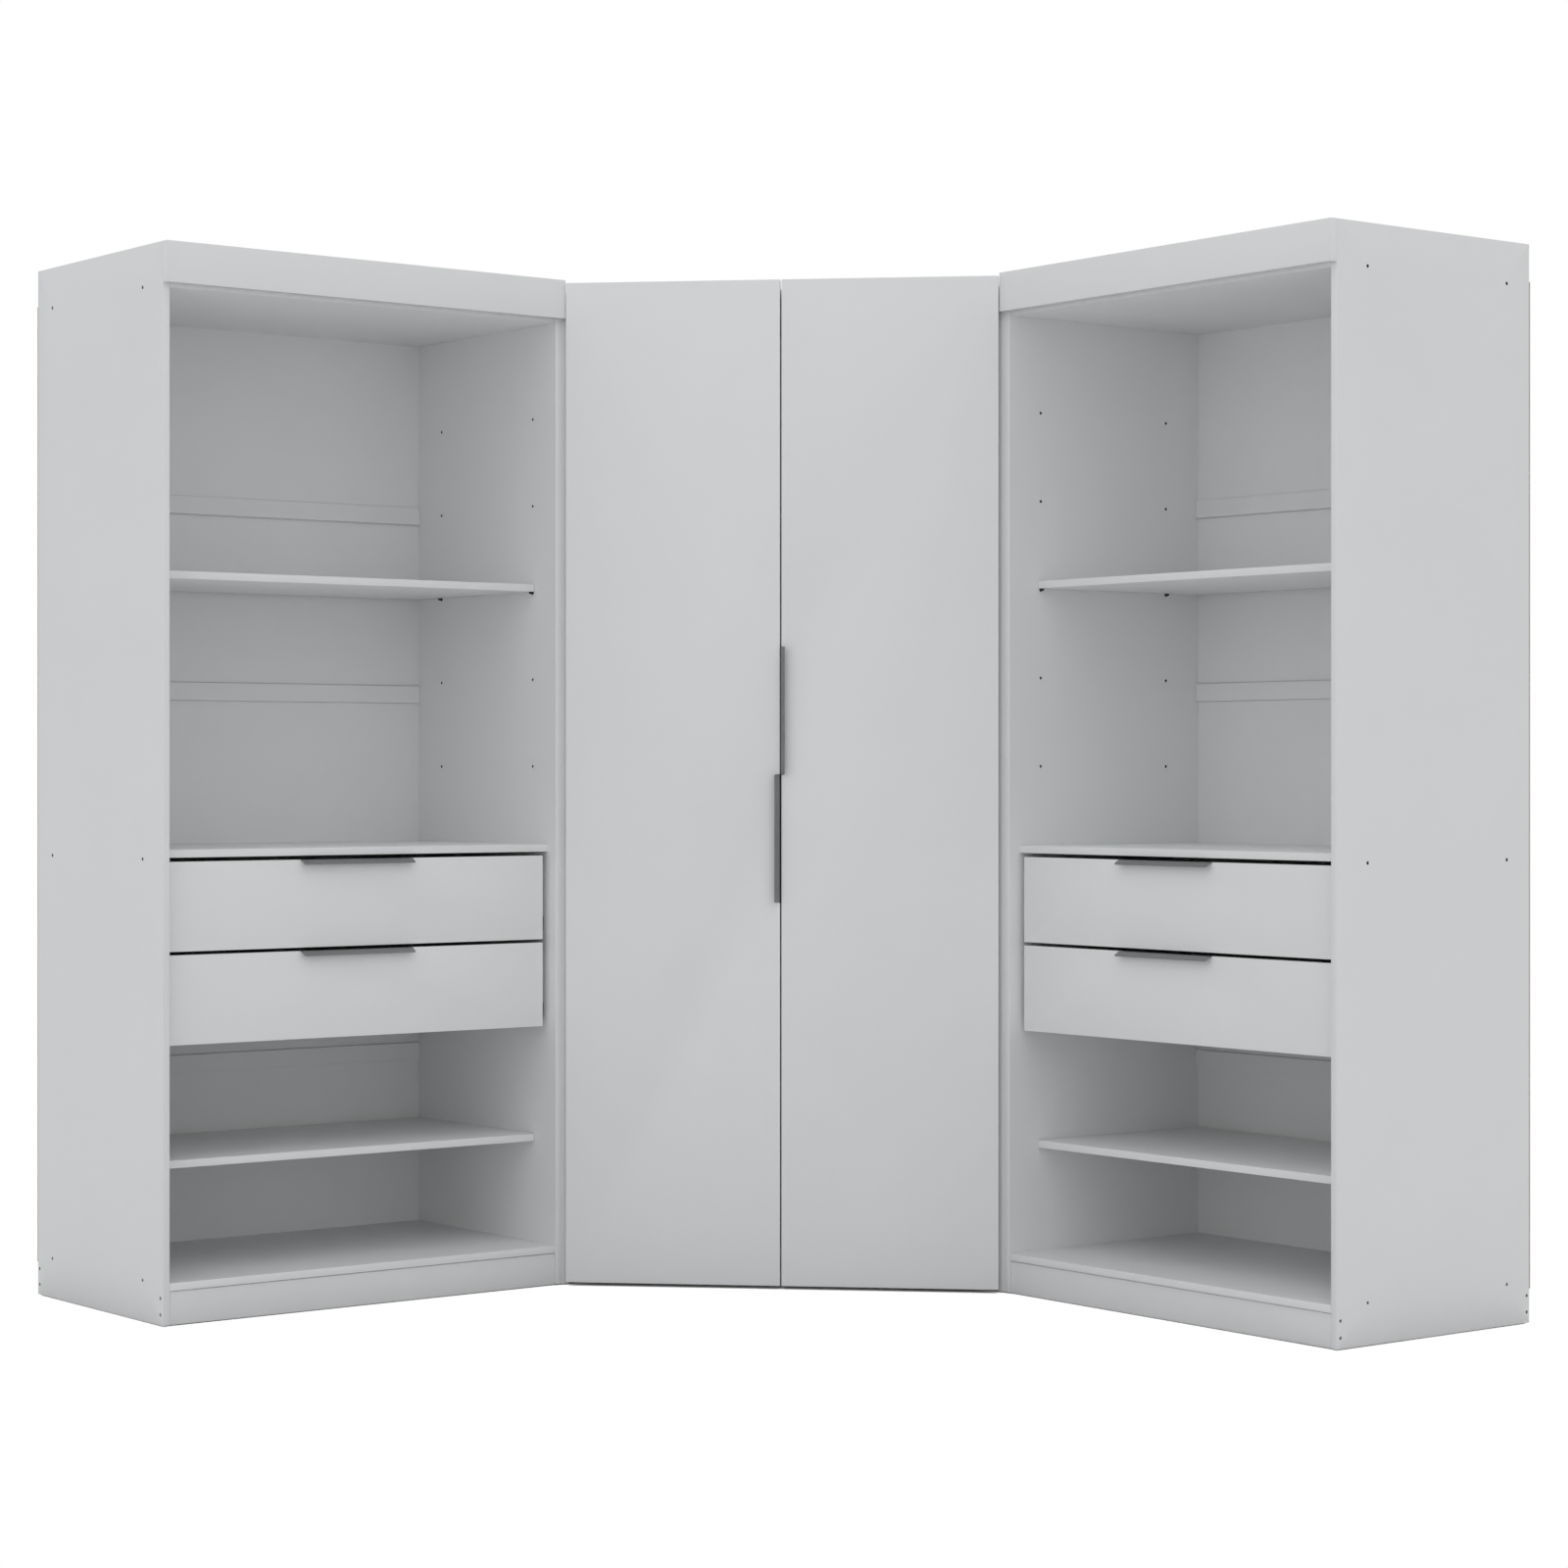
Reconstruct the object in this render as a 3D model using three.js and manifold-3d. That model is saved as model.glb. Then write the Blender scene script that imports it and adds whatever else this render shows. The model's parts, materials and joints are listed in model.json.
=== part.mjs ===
// Corner wardrobe: two open wings along two walls, joined by a corner cabinet with two doors set at 45 degrees.
// Millimetres, +Z up. The room corner is at (-X, +Y). The left wing stands along the wall at low X and faces +X,
// the right wing stands along the wall at high Y and faces -Y, and the doors face the room between them.
// The origin is on the floor, at the centre of the square footprint.
import * as THREE from 'three';
import * as BufferGeometryUtils from 'three/addons/utils/BufferGeometryUtils.js';
import Module from 'manifold-3d';

const wasm = await Module();
wasm.setup();

// ---- driving dimensions ----
const BOARD = 15;            // thickness of every carcass board
const BACK = 3;              // thickness of the fibreboard backs
const HEIGHT = 2065;         // floor to the top of the wings
const WING_WIDTH = 916;      // one wing, outside to outside
const SIDE_FRONT = 533;      // wall to the front edge of the side panels
const CORNER = 1178;         // room corner to the near face of each wing
const SPAN = CORNER + WING_WIDTH; // room corner to the far end of each wing

const PLINTH_HEIGHT = 65;
const PLINTH_RECESS = 3;
const TOP_UNDERSIDE = 1978;  // underside of the wings' top boards
const FASCIA_BOTTOM = 1986;
const FIXED_SHELF_Z = 890;   // undersides of the shelves
const UPPER_SHELF_Z = 1428;
const LOWER_SHELF_Z = 289;
const FIXED_SETBACK = 28;    // front edge behind the side panels' front edges
const LOOSE_SETBACK = 77;
const LOOSE_GAP = 1;         // play at each end of an adjustable shelf
const BAND_HEIGHT = 37;      // raised bands on the back panel
const BAND_THICK = 6;
const BAND_Z = [430, 1203, 1590];

const PIN_RADIUS = 3;        // shelf-pin holes
const PIN_DEPTH = 10;
const PIN_X = [96, 448];
const PIN_Z = [296.5, 1065.5, 1245.5, 1425.5, 1605.5, 1785.5];
const SCREW_RADIUS = 3.5;    // sunk screw heads on the outer sides
const SCREW_DEPTH = 3;
const SCREW_X = [67.5, 451.5];
const SCREW_Z = [78.5, 887, 1984.5];
const PLINTH_SCREW_X = [10.5, 523.5];
const PLINTH_SCREW_Z = [20.5, 52];

const DRAWER_SIDE_GAP = 13;  // room for the runners at each side
const DRAWER_FRONT_HEIGHT = 172.5;
const DRAWER_Z = { upper: 709.5, lower: 530.2 };
const DRAWER_BACK_X = 40;
const DRAWER_WALL = 12;
const DRAWER_BOX_HEIGHT = 140;
const DRAWER_BOX_LIFT = 12;  // underside of the box above the underside of the front
const DRAWER_BOTTOM = 3;
const DRAWER_BOTTOM_LIFT = 8;
const RUNNER_DEPTH = 10.5;
const RUNNER_HEIGHT = 30;
const RUNNER_SHEET = 1.5;
const RUNNER_LIFT = 5;       // underside of the runner above the underside of the box

const PULL_SHEET = 2;        // edge pulls: one bent section for drawers and doors
const PULL_START = 3;        // the lip turns down this far in front of the board
const PULL_REACH = 16.5;     // and ends this far in front of it
const PULL_DROP = 8.2;       // the outer face of the lip falls this far from the board's edge
const PULL_FLANGE = 20;
const PULL_SLOT_GAP = 0.3;
const DRAWER_PULL_LENGTH = 254;
const DRAWER_PULL_CENTRE = { left: 445, right: 479 }; // from the wing's outer face
const DOOR_PULL_LENGTH = 261;
const DOOR_PULL_Z = { left: 788, right: 1048.5 };

const CORNER_TOP = 2040;     // top of the corner cabinet
const DOOR_BOTTOM = 6;
const DOOR_TOP = 2058.5;
const DOOR_THICK = 15;
const DOOR_PROUD = 16;       // door face in front of the line between the wings' front corners
const DOOR_OUTER = 444.5;    // door edges, measured along the diagonal from the middle
const DOOR_INNER = 1.2;
const CORNER_BOARD_SET = 2;  // these are measured behind the same line
const CORNER_PLINTH_SET = 40;
const HAT_SHELF_Z = 1700;
const HAT_SHELF_SET = 60;
const RAIL_Z = 1640;
const RAIL_RADIUS = 12.5;
const RAIL_WALL = 290;       // rail's centre to the walls
const RAIL_BEND = 150;
const HINGE_Z = [120, 1030, 1940];
const CUP_RADIUS = 17.5;
const CUP_DEPTH = 12;
const CUP_FROM_EDGE = 22.5;

// ---- finishes ----
const BOARD_FINISH = { color: 0xdcdddf, roughness: 0.5, metalness: 0.0 };
const BACK_FINISH = { color: 0xd2d3d5, roughness: 0.6, metalness: 0.0 };
const PULL_FINISH = { color: 0x6e6f71, roughness: 0.38, metalness: 0.85 };
const STEEL_FINISH = { color: 0xb8babd, roughness: 0.35, metalness: 0.9 };

// ---- helpers ----
const wardrobe = new THREE.Group();
wardrobe.position.set(-SPAN / 2, SPAN / 2, 0);

function addMesh(parent, name, geometry, finish) {
  const mesh = new THREE.Mesh(geometry, new THREE.MeshStandardMaterial(finish));
  mesh.name = name;
  parent.add(mesh);
  return mesh;
}

function boxGeometry(x, y, z) {
  const g = new THREE.BoxGeometry(x[1] - x[0], y[1] - y[0], z[1] - z[0]);
  g.translate((x[0] + x[1]) / 2, (y[0] + y[1]) / 2, (z[0] + z[1]) / 2);
  return g;
}

function solidOf(geometry) {
  const g = geometry.clone();
  g.deleteAttribute('normal');
  g.deleteAttribute('uv');
  const merged = BufferGeometryUtils.mergeVertices(g, 1e-4);
  return new wasm.Manifold(new wasm.Mesh({
    numProp: 3,
    vertProperties: new Float32Array(merged.attributes.position.array),
    triVerts: new Uint32Array(merged.index.array),
  }));
}

function geometryOf(solid) {
  const m = solid.getMesh();
  const g = new THREE.BufferGeometry();
  g.setAttribute('position', new THREE.BufferAttribute(new Float32Array(m.vertProperties), 3));
  g.setIndex(new THREE.BufferAttribute(new Uint32Array(m.triVerts), 1));
  g.computeVertexNormals();
  return g;
}

function cut(base, tools) {
  let solid = solidOf(base);
  for (const t of tools) solid = solid.subtract(solidOf(t));
  return geometryOf(solid);
}

function join(pieces) {
  let solid = solidOf(pieces[0]);
  for (const p of pieces.slice(1)) solid = solid.add(solidOf(p));
  return geometryOf(solid);
}

// The right wing is the left one reflected across the diagonal: (x, y) becomes (-y, -x).
function reflected(geometry) {
  const g = geometry.clone();
  g.applyMatrix4(new THREE.Matrix4().set(0, -1, 0, 0, -1, 0, 0, 0, 0, 0, 1, 0, 0, 0, 0, 1));
  const index = g.index;
  if (index) {
    for (let i = 0; i < index.count; i += 3) {
      const a = index.getX(i + 1);
      index.setX(i + 1, index.getX(i + 2));
      index.setX(i + 2, a);
    }
  } else {
    const p = g.attributes.position;
    for (let i = 0; i < p.count; i += 3) {
      const b = [p.getX(i + 1), p.getY(i + 1), p.getZ(i + 1)];
      p.setXYZ(i + 1, p.getX(i + 2), p.getY(i + 2), p.getZ(i + 2));
      p.setXYZ(i + 2, b[0], b[1], b[2]);
    }
  }
  g.computeVertexNormals();
  return g;
}

// A section drawn in the X-Z plane, drawn out along Y from y0 to y1.
function sectionAlongY(points, y0, y1) {
  const shape = new THREE.Shape(points.map(([x, z]) => new THREE.Vector2(x, z)));
  const g = new THREE.ExtrudeGeometry(shape, { depth: y1 - y0, bevelEnabled: false });
  g.rotateX(Math.PI / 2);       // the drawing's second axis becomes +Z, the extrusion runs along -Y
  g.translate(0, y1, 0);
  return g;
}

// A plan drawn in the X-Y plane, raised from z0 to z1.
function planUp(points, z0, z1) {
  const shape = new THREE.Shape(points.map(([x, y]) => new THREE.Vector2(x, y)));
  const g = new THREE.ExtrudeGeometry(shape, { depth: z1 - z0, bevelEnabled: false });
  g.translate(0, 0, z0);
  return g;
}

// Section of an edge pull. The first number is the distance in front of the board's face, the second the distance
// in from the board's edge. A flange lies behind the board, a plate crosses its edge, and a lip slopes away in front.
function pullSection(play) {
  const q = PULL_SHEET, behind = -BOARD - play;
  const run = PULL_REACH - PULL_START, length = Math.hypot(run, PULL_DROP);
  const offset = [-q * PULL_DROP / length, q * run / length];
  const cornerOut = PULL_START + offset[0] + (q - offset[1]) * run / PULL_DROP;
  return [
    [behind - q, PULL_FLANGE], [behind, PULL_FLANGE], [behind, q], [cornerOut, q],
    [PULL_REACH + offset[0], PULL_DROP + offset[1]], [PULL_REACH, PULL_DROP], [PULL_START, 0], [behind - q, 0]];
}

function holeAlongY(x, z, radius, y0, y1, sides = 8) {
  const g = new THREE.CylinderGeometry(radius, radius, y1 - y0, sides);
  g.translate(x, (y0 + y1) / 2, z);
  return g;
}

// ---- one wing, drawn on the left wall ----
function wingPieces(side) {
  const outer = -SPAN, inner = -CORNER;
  const y0 = outer + BOARD, y1 = inner - BOARD;    // clear width between the sides
  const pieces = [];
  const put = (name, geometry, finish) => pieces.push([`${side}_${name}`, geometry, finish]);

  // side panels, with the blind pin holes on their inner faces
  const over = 1;
  const outerHoles = [], innerHoles = [];
  for (const x of PIN_X) for (const z of PIN_Z) {
    outerHoles.push(holeAlongY(x, z, PIN_RADIUS, y0 - PIN_DEPTH, y0 + over));
    innerHoles.push(holeAlongY(x, z, PIN_RADIUS, y1 - over, y1 + PIN_DEPTH));
  }
  // sunk screw heads where the boards are screwed from outside
  const screwAt = [];
  for (const x of SCREW_X) for (const z of SCREW_Z) screwAt.push([x, z]);
  for (const x of PLINTH_SCREW_X) for (const z of PLINTH_SCREW_Z) screwAt.push([x, z]);
  for (const [x, z] of screwAt) outerHoles.push(holeAlongY(x, z, SCREW_RADIUS, outer - over, outer + SCREW_DEPTH));
  put('outer_side', cut(boxGeometry([BACK, SIDE_FRONT], [outer, y0], [0, HEIGHT]), outerHoles), BOARD_FINISH);
  put('inner_side', cut(boxGeometry([BACK, SIDE_FRONT], [y1, inner], [0, HEIGHT]), innerHoles), BOARD_FINISH);

  // top board, fascia, bottom board on its rear plinth rail, front plinth
  put('top_panel', boxGeometry([BACK, SIDE_FRONT], [y0, y1], [TOP_UNDERSIDE, TOP_UNDERSIDE + BOARD]), BOARD_FINISH);
  put('fascia', boxGeometry([SIDE_FRONT, SIDE_FRONT + BOARD], [outer, inner], [FASCIA_BOTTOM, HEIGHT]), BOARD_FINISH);
  put('bottom_panel', sectionAlongY([
    [BACK, 0], [BACK + BOARD, 0], [BACK + BOARD, PLINTH_HEIGHT], [SIDE_FRONT, PLINTH_HEIGHT],
    [SIDE_FRONT, PLINTH_HEIGHT + BOARD], [BACK, PLINTH_HEIGHT + BOARD]], y0, y1), BOARD_FINISH);
  put('plinth', boxGeometry([SIDE_FRONT - PLINTH_RECESS - BOARD, SIDE_FRONT - PLINTH_RECESS], [y0, y1], [0, PLINTH_HEIGHT]), BOARD_FINISH);

  // shelves
  put('fixed_shelf', boxGeometry([BACK, SIDE_FRONT - FIXED_SETBACK], [y0, y1], [FIXED_SHELF_Z, FIXED_SHELF_Z + BOARD]), BOARD_FINISH);
  const looseBack = BACK + BAND_THICK + 2;
  put('upper_shelf', boxGeometry([looseBack, SIDE_FRONT - LOOSE_SETBACK], [y0 + LOOSE_GAP, y1 - LOOSE_GAP], [UPPER_SHELF_Z, UPPER_SHELF_Z + BOARD]), BOARD_FINISH);
  put('lower_shelf', boxGeometry([looseBack, SIDE_FRONT - LOOSE_SETBACK], [y0 + LOOSE_GAP, y1 - LOOSE_GAP], [LOWER_SHELF_Z, LOWER_SHELF_Z + BOARD]), BOARD_FINISH);

  // back panel with its raised bands between the sides
  const bands = BAND_Z.map((z) => boxGeometry([BACK - 1, BACK + BAND_THICK], [y0 + 0.5, y1 - 0.5], [z, z + BAND_HEIGHT]));
  put('back_panel', join([boxGeometry([0, BACK], [outer, inner], [PLINTH_HEIGHT, TOP_UNDERSIDE + BOARD]), ...bands]), BACK_FINISH);

  // drawers and the cabinet halves of their runners
  const face = SIDE_FRONT - FIXED_SETBACK;         // drawer faces line up with the fixed shelf's front edge
  const rear = face - BOARD;
  const d0 = y0 + DRAWER_SIDE_GAP, d1 = y1 - DRAWER_SIDE_GAP;
  const pull = outer + DRAWER_PULL_CENTRE[side];
  const p0 = pull - DRAWER_PULL_LENGTH / 2, p1 = pull + DRAWER_PULL_LENGTH / 2;
  for (const level of ['upper', 'lower']) {
    const z0 = DRAWER_Z[level], z1 = z0 + DRAWER_FRONT_HEIGHT;
    put(`${level}_drawer_front`, cut(boxGeometry([rear, face], [d0, d1], [z0, z1]),
      [boxGeometry([rear - 5, face + 5], [p0 - PULL_SLOT_GAP, p1 + PULL_SLOT_GAP], [z1 - PULL_SHEET - PULL_SLOT_GAP, z1 + 5])]), BOARD_FINISH);

    const b0 = z0 + DRAWER_BOX_LIFT, b1 = b0 + DRAWER_BOX_HEIGHT;
    const floor0 = b0 + DRAWER_BOTTOM_LIFT, floor1 = floor0 + DRAWER_BOTTOM;
    put(`${level}_drawer_box`, cut(boxGeometry([DRAWER_BACK_X, rear], [d0, d1], [b0, b1]), [
      boxGeometry([DRAWER_BACK_X + DRAWER_WALL, rear + 5], [d0 + DRAWER_WALL, d1 - DRAWER_WALL], [floor1, b1 + 5]),
      boxGeometry([DRAWER_BACK_X + DRAWER_WALL, rear + 5], [d0 + DRAWER_WALL, d1 - DRAWER_WALL], [b0 - 5, floor0]),
    ]), BOARD_FINISH);

    // edge pull let into the top edge of the front
    put(`${level}_drawer_pull`, sectionAlongY(pullSection(0).map(([out, inward]) => [face + out, z1 - inward]), p0, p1), PULL_FINISH);

    // channel runners, open towards the drawer
    const r0 = b0 + RUNNER_LIFT, r1 = r0 + RUNNER_HEIGHT, s = RUNNER_SHEET;
    const channel = (wall, inward) => {
      const web = [wall, wall + inward * s].sort((a, b) => a - b);
      const lip = [wall, wall + inward * RUNNER_DEPTH].sort((a, b) => a - b);
      const x = [DRAWER_BACK_X, rear];
      return join([boxGeometry(x, web, [r0, r1]), boxGeometry(x, lip, [r0, r0 + s]), boxGeometry(x, lip, [r1 - s, r1])]);
    };
    put(`${level}_runner_outer`, channel(y0, 1), STEEL_FINISH);
    put(`${level}_runner_inner`, channel(y1, -1), STEEL_FINISH);
  }
  return pieces;
}

for (const [name, geometry, finish] of wingPieces('left')) addMesh(wardrobe, name, geometry, finish);
for (const [name, geometry, finish] of wingPieces('right')) addMesh(wardrobe, name, reflected(geometry), finish);

// ---- corner cabinet ----
const wallSide = CORNER - BOARD;                    // inner faces of the corner cabinet's sides
// their front edges are cut at a slant, so that they stay clear of the backs of the doors
const slantTip = SIDE_FRONT + 5;
addMesh(wardrobe, 'corner_left_side', planUp([[BACK, -CORNER], [SIDE_FRONT, -CORNER], [slantTip, -wallSide], [BACK, -wallSide]], 0, CORNER_TOP), BOARD_FINISH);
addMesh(wardrobe, 'corner_right_side', planUp([[wallSide, -BACK], [wallSide, -slantTip], [CORNER, -SIDE_FRONT], [CORNER, -BACK]], 0, CORNER_TOP), BOARD_FINISH);
addMesh(wardrobe, 'corner_left_back', boxGeometry([0, BACK], [-CORNER, -BACK], [PLINTH_HEIGHT, CORNER_TOP]), BACK_FINISH);
addMesh(wardrobe, 'corner_right_back', boxGeometry([0, CORNER], [-BACK, 0], [PLINTH_HEIGHT, CORNER_TOP]), BACK_FINISH);

// a line parallel to the doors, `set` behind the line between the wings' front corners: x - y is constant on it
const diagonalAt = (set) => SIDE_FRONT + CORNER - Math.SQRT2 * set;
const boardFront = diagonalAt(CORNER_BOARD_SET) - wallSide;
const fivePointPlan = [[BACK, -wallSide], [boardFront, -wallSide], [wallSide, -boardFront], [wallSide, -BACK], [BACK, -BACK]];
// the bottom stands on a rail along each wall, as the wings' bottoms do on theirs
addMesh(wardrobe, 'corner_bottom_panel', join([
  planUp(fivePointPlan, PLINTH_HEIGHT, PLINTH_HEIGHT + BOARD),
  planUp([[BACK, -wallSide], [BACK + BOARD, -wallSide], [BACK + BOARD, -BACK - BOARD], [wallSide, -BACK - BOARD], [wallSide, -BACK], [BACK, -BACK]], 0, PLINTH_HEIGHT)]), BOARD_FINISH);
addMesh(wardrobe, 'corner_top_panel', planUp(fivePointPlan, CORNER_TOP - BOARD, CORNER_TOP), BOARD_FINISH);

const clear = 0.5;
const inset = wallSide - clear;
const plinthFront = diagonalAt(CORNER_PLINTH_SET) - inset;
const plinthRear = diagonalAt(CORNER_PLINTH_SET + BOARD) - inset;
addMesh(wardrobe, 'corner_plinth', planUp([[plinthRear, -inset], [plinthFront, -inset], [inset, -plinthFront], [inset, -plinthRear]], 0, PLINTH_HEIGHT), BOARD_FINISH);
const shelfFront = diagonalAt(HAT_SHELF_SET) - inset;
const shelfBack = BACK + clear;
addMesh(wardrobe, 'corner_hat_shelf', planUp([[shelfBack, -inset], [shelfFront, -inset], [inset, -shelfFront], [inset, -shelfBack], [shelfBack, -shelfBack]], HAT_SHELF_Z, HAT_SHELF_Z + BOARD), BOARD_FINISH);

// hanging rail: a round bar along both walls with one bend, and a flange on each side panel
function bar(points, radius, sides) {
  const position = [], index = [];
  const n = points.length;
  for (let i = 0; i < n; i++) {
    const before = points[Math.max(i - 1, 0)], after = points[Math.min(i + 1, n - 1)];
    const along = new THREE.Vector3().subVectors(after, before).normalize();
    const across = new THREE.Vector3(-along.y, along.x, 0);
    for (let k = 0; k < sides; k++) {
      const a = ((k + 0.5) / sides) * Math.PI * 2;
      position.push(points[i].x + across.x * Math.cos(a) * radius, points[i].y + across.y * Math.cos(a) * radius, points[i].z + Math.sin(a) * radius);
    }
  }
  for (let i = 0; i < n - 1; i++) for (let k = 0; k < sides; k++) {
    const a = i * sides + k, b = i * sides + ((k + 1) % sides), c = a + sides, d = b + sides;
    index.push(a, b, d, a, d, c);
  }
  for (let k = 1; k < sides - 1; k++) {
    index.push(0, k + 1, k);
    const e = (n - 1) * sides;
    index.push(e, e + k, e + k + 1);
  }
  const g = new THREE.BufferGeometry();
  g.setAttribute('position', new THREE.Float32BufferAttribute(position, 3));
  g.setIndex(index);
  g.computeVertexNormals();
  return g;
}
const railEnd = wallSide - 0.3;
const railPath = [new THREE.Vector3(RAIL_WALL, -railEnd + 1, RAIL_Z)];
for (let i = 0; i <= 8; i++) {
  const a = Math.PI - (i / 8) * Math.PI / 2;
  railPath.push(new THREE.Vector3(RAIL_WALL + RAIL_BEND + RAIL_BEND * Math.cos(a), -(RAIL_WALL + RAIL_BEND) + RAIL_BEND * Math.sin(a), RAIL_Z));
}
railPath.push(new THREE.Vector3(railEnd - 1, -RAIL_WALL, RAIL_Z));
const flangeLeft = new THREE.CylinderGeometry(24, 24, 4, 16);
flangeLeft.translate(RAIL_WALL, -railEnd + 2, RAIL_Z);
addMesh(wardrobe, 'hanging_rail', join([bar(railPath, RAIL_RADIUS, 12), flangeLeft, reflected(flangeLeft)]), STEEL_FINISH);

// hanger under the hat shelf: a plate, a stem and an eye that the bend of the rail passes through
const eye = RAIL_RADIUS + 1.5, eyeWall = 3;
const hangerTop = HAT_SHELF_Z - 0.3;
const hangerShape = new THREE.Shape([
  [-eye - eyeWall, RAIL_Z - eye - eyeWall], [eye + eyeWall, RAIL_Z - eye - eyeWall], [eye + eyeWall, RAIL_Z + eye + eyeWall],
  [6, RAIL_Z + eye + eyeWall], [6, hangerTop - 3], [25, hangerTop - 3], [25, hangerTop], [-25, hangerTop], [-25, hangerTop - 3],
  [-6, hangerTop - 3], [-6, RAIL_Z + eye + eyeWall], [-eye - eyeWall, RAIL_Z + eye + eyeWall]].map(([x, z]) => new THREE.Vector2(x, z)));
hangerShape.holes.push(new THREE.Path([[-eye, RAIL_Z - eye], [-eye, RAIL_Z + eye], [eye, RAIL_Z + eye], [eye, RAIL_Z - eye]].map(([x, z]) => new THREE.Vector2(x, z))));
const hangerGeometry = new THREE.ExtrudeGeometry(hangerShape, { depth: 16, bevelEnabled: false });
hangerGeometry.rotateX(Math.PI / 2);
hangerGeometry.translate(0, 8, 0);
const bendMiddle = RAIL_WALL + RAIL_BEND * (1 - Math.SQRT1_2);
const hanger = addMesh(wardrobe, 'rail_hanger', hangerGeometry, STEEL_FINISH);
hanger.position.set(bendMiddle, -bendMiddle, 0);
hanger.rotation.z = -Math.PI / 4;

// hinge arms on the corner cabinet's sides: a wing plate on the panel, and an arm whose nose is turned to face the door
const armFace = -wallSide + 0.3;
const noseLine = diagonalAt(3);                         // the nose stops short of the door's back
const armPlan = [
  [462, armFace + 2.5], [541, armFace + 2.5], [548, 548 - noseLine], [555, 555 - noseLine],
  [548, armFace + 14], [536, armFace + 12], [462, armFace + 12]];
function hingeArm(z) {
  const plate = boxGeometry([470, 512], [armFace, armFace + 3], [z - 24, z + 24]);
  return join([plate, planUp(armPlan, z - 9, z + 9)]);
}
HINGE_Z.forEach((z, i) => {
  const place = ['lower', 'middle', 'upper'][i];
  addMesh(wardrobe, `left_hinge_${place}`, hingeArm(z), STEEL_FINISH);
  addMesh(wardrobe, `right_hinge_${place}`, reflected(hingeArm(z)), STEEL_FINISH);
});

// ---- doors, drawn along X with their faces towards -Y, then turned 45 degrees ----
const doors = new THREE.Group();
doors.position.set((SIDE_FRONT + CORNER) / 2, -(SIDE_FRONT + CORNER) / 2, 0);
doors.rotation.z = Math.PI / 4;
wardrobe.add(doors);

const mirrorX = (geometry) => {
  const g = geometry.clone();
  g.scale(-1, 1, 1);
  const p = g.attributes.position;
  if (g.index) {
    for (let i = 0; i < g.index.count; i += 3) {
      const a = g.index.getX(i + 1);
      g.index.setX(i + 1, g.index.getX(i + 2));
      g.index.setX(i + 2, a);
    }
  } else {
    for (let i = 0; i < p.count; i += 3) {
      const b = [p.getX(i + 1), p.getY(i + 1), p.getZ(i + 1)];
      p.setXYZ(i + 1, p.getX(i + 2), p.getY(i + 2), p.getZ(i + 2));
      p.setXYZ(i + 2, b[0], b[1], b[2]);
    }
  }
  g.computeVertexNormals();
  return g;
};

function doorPieces(pullZ) {
  const face = -DOOR_PROUD, back = DOOR_THICK - DOOR_PROUD;
  const edge = -DOOR_INNER, q = PULL_SHEET;
  const cups = HINGE_Z.map((z) => holeAlongY(-DOOR_OUTER + CUP_FROM_EDGE, z, CUP_RADIUS, back - CUP_DEPTH, back + 5, 24));
  const slot = boxGeometry([edge - q - PULL_SLOT_GAP, edge + 5], [face - 5, back + 5], [pullZ - PULL_SLOT_GAP, pullZ + DOOR_PULL_LENGTH + PULL_SLOT_GAP]);
  const door = cut(boxGeometry([-DOOR_OUTER, edge], [face, back], [DOOR_BOTTOM, DOOR_TOP]), [...cups, slot]);
  const pull = planUp(pullSection(PULL_SLOT_GAP).map(([out, inward]) => [edge - inward, face - out]), pullZ, pullZ + DOOR_PULL_LENGTH);
  return [door, pull];
}
const [leftDoor, leftPull] = doorPieces(DOOR_PULL_Z.left);
const [rightDoor, rightPull] = doorPieces(DOOR_PULL_Z.right);
addMesh(doors, 'left_door', leftDoor, BOARD_FINISH);
addMesh(doors, 'left_door_pull', leftPull, PULL_FINISH);
addMesh(doors, 'right_door', mirrorX(rightDoor), BOARD_FINISH);
addMesh(doors, 'right_door_pull', mirrorX(rightPull), PULL_FINISH);

export default wardrobe;
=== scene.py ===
"""Corner wardrobe: the looks. Two open wings with shelves and drawers stand along two walls, and a corner cabinet with
two doors joins them. Lengths in this script are millimetres in the room corner's frame: x runs from the left wing's
wall, y is 0 at the right wing's wall and falls towards the room, z is up. They turn into metres when a mesh is made."""
import json
import math

import bmesh
import bpy
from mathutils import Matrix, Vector
from mathutils.geometry import delaunay_2d_cdt

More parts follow.
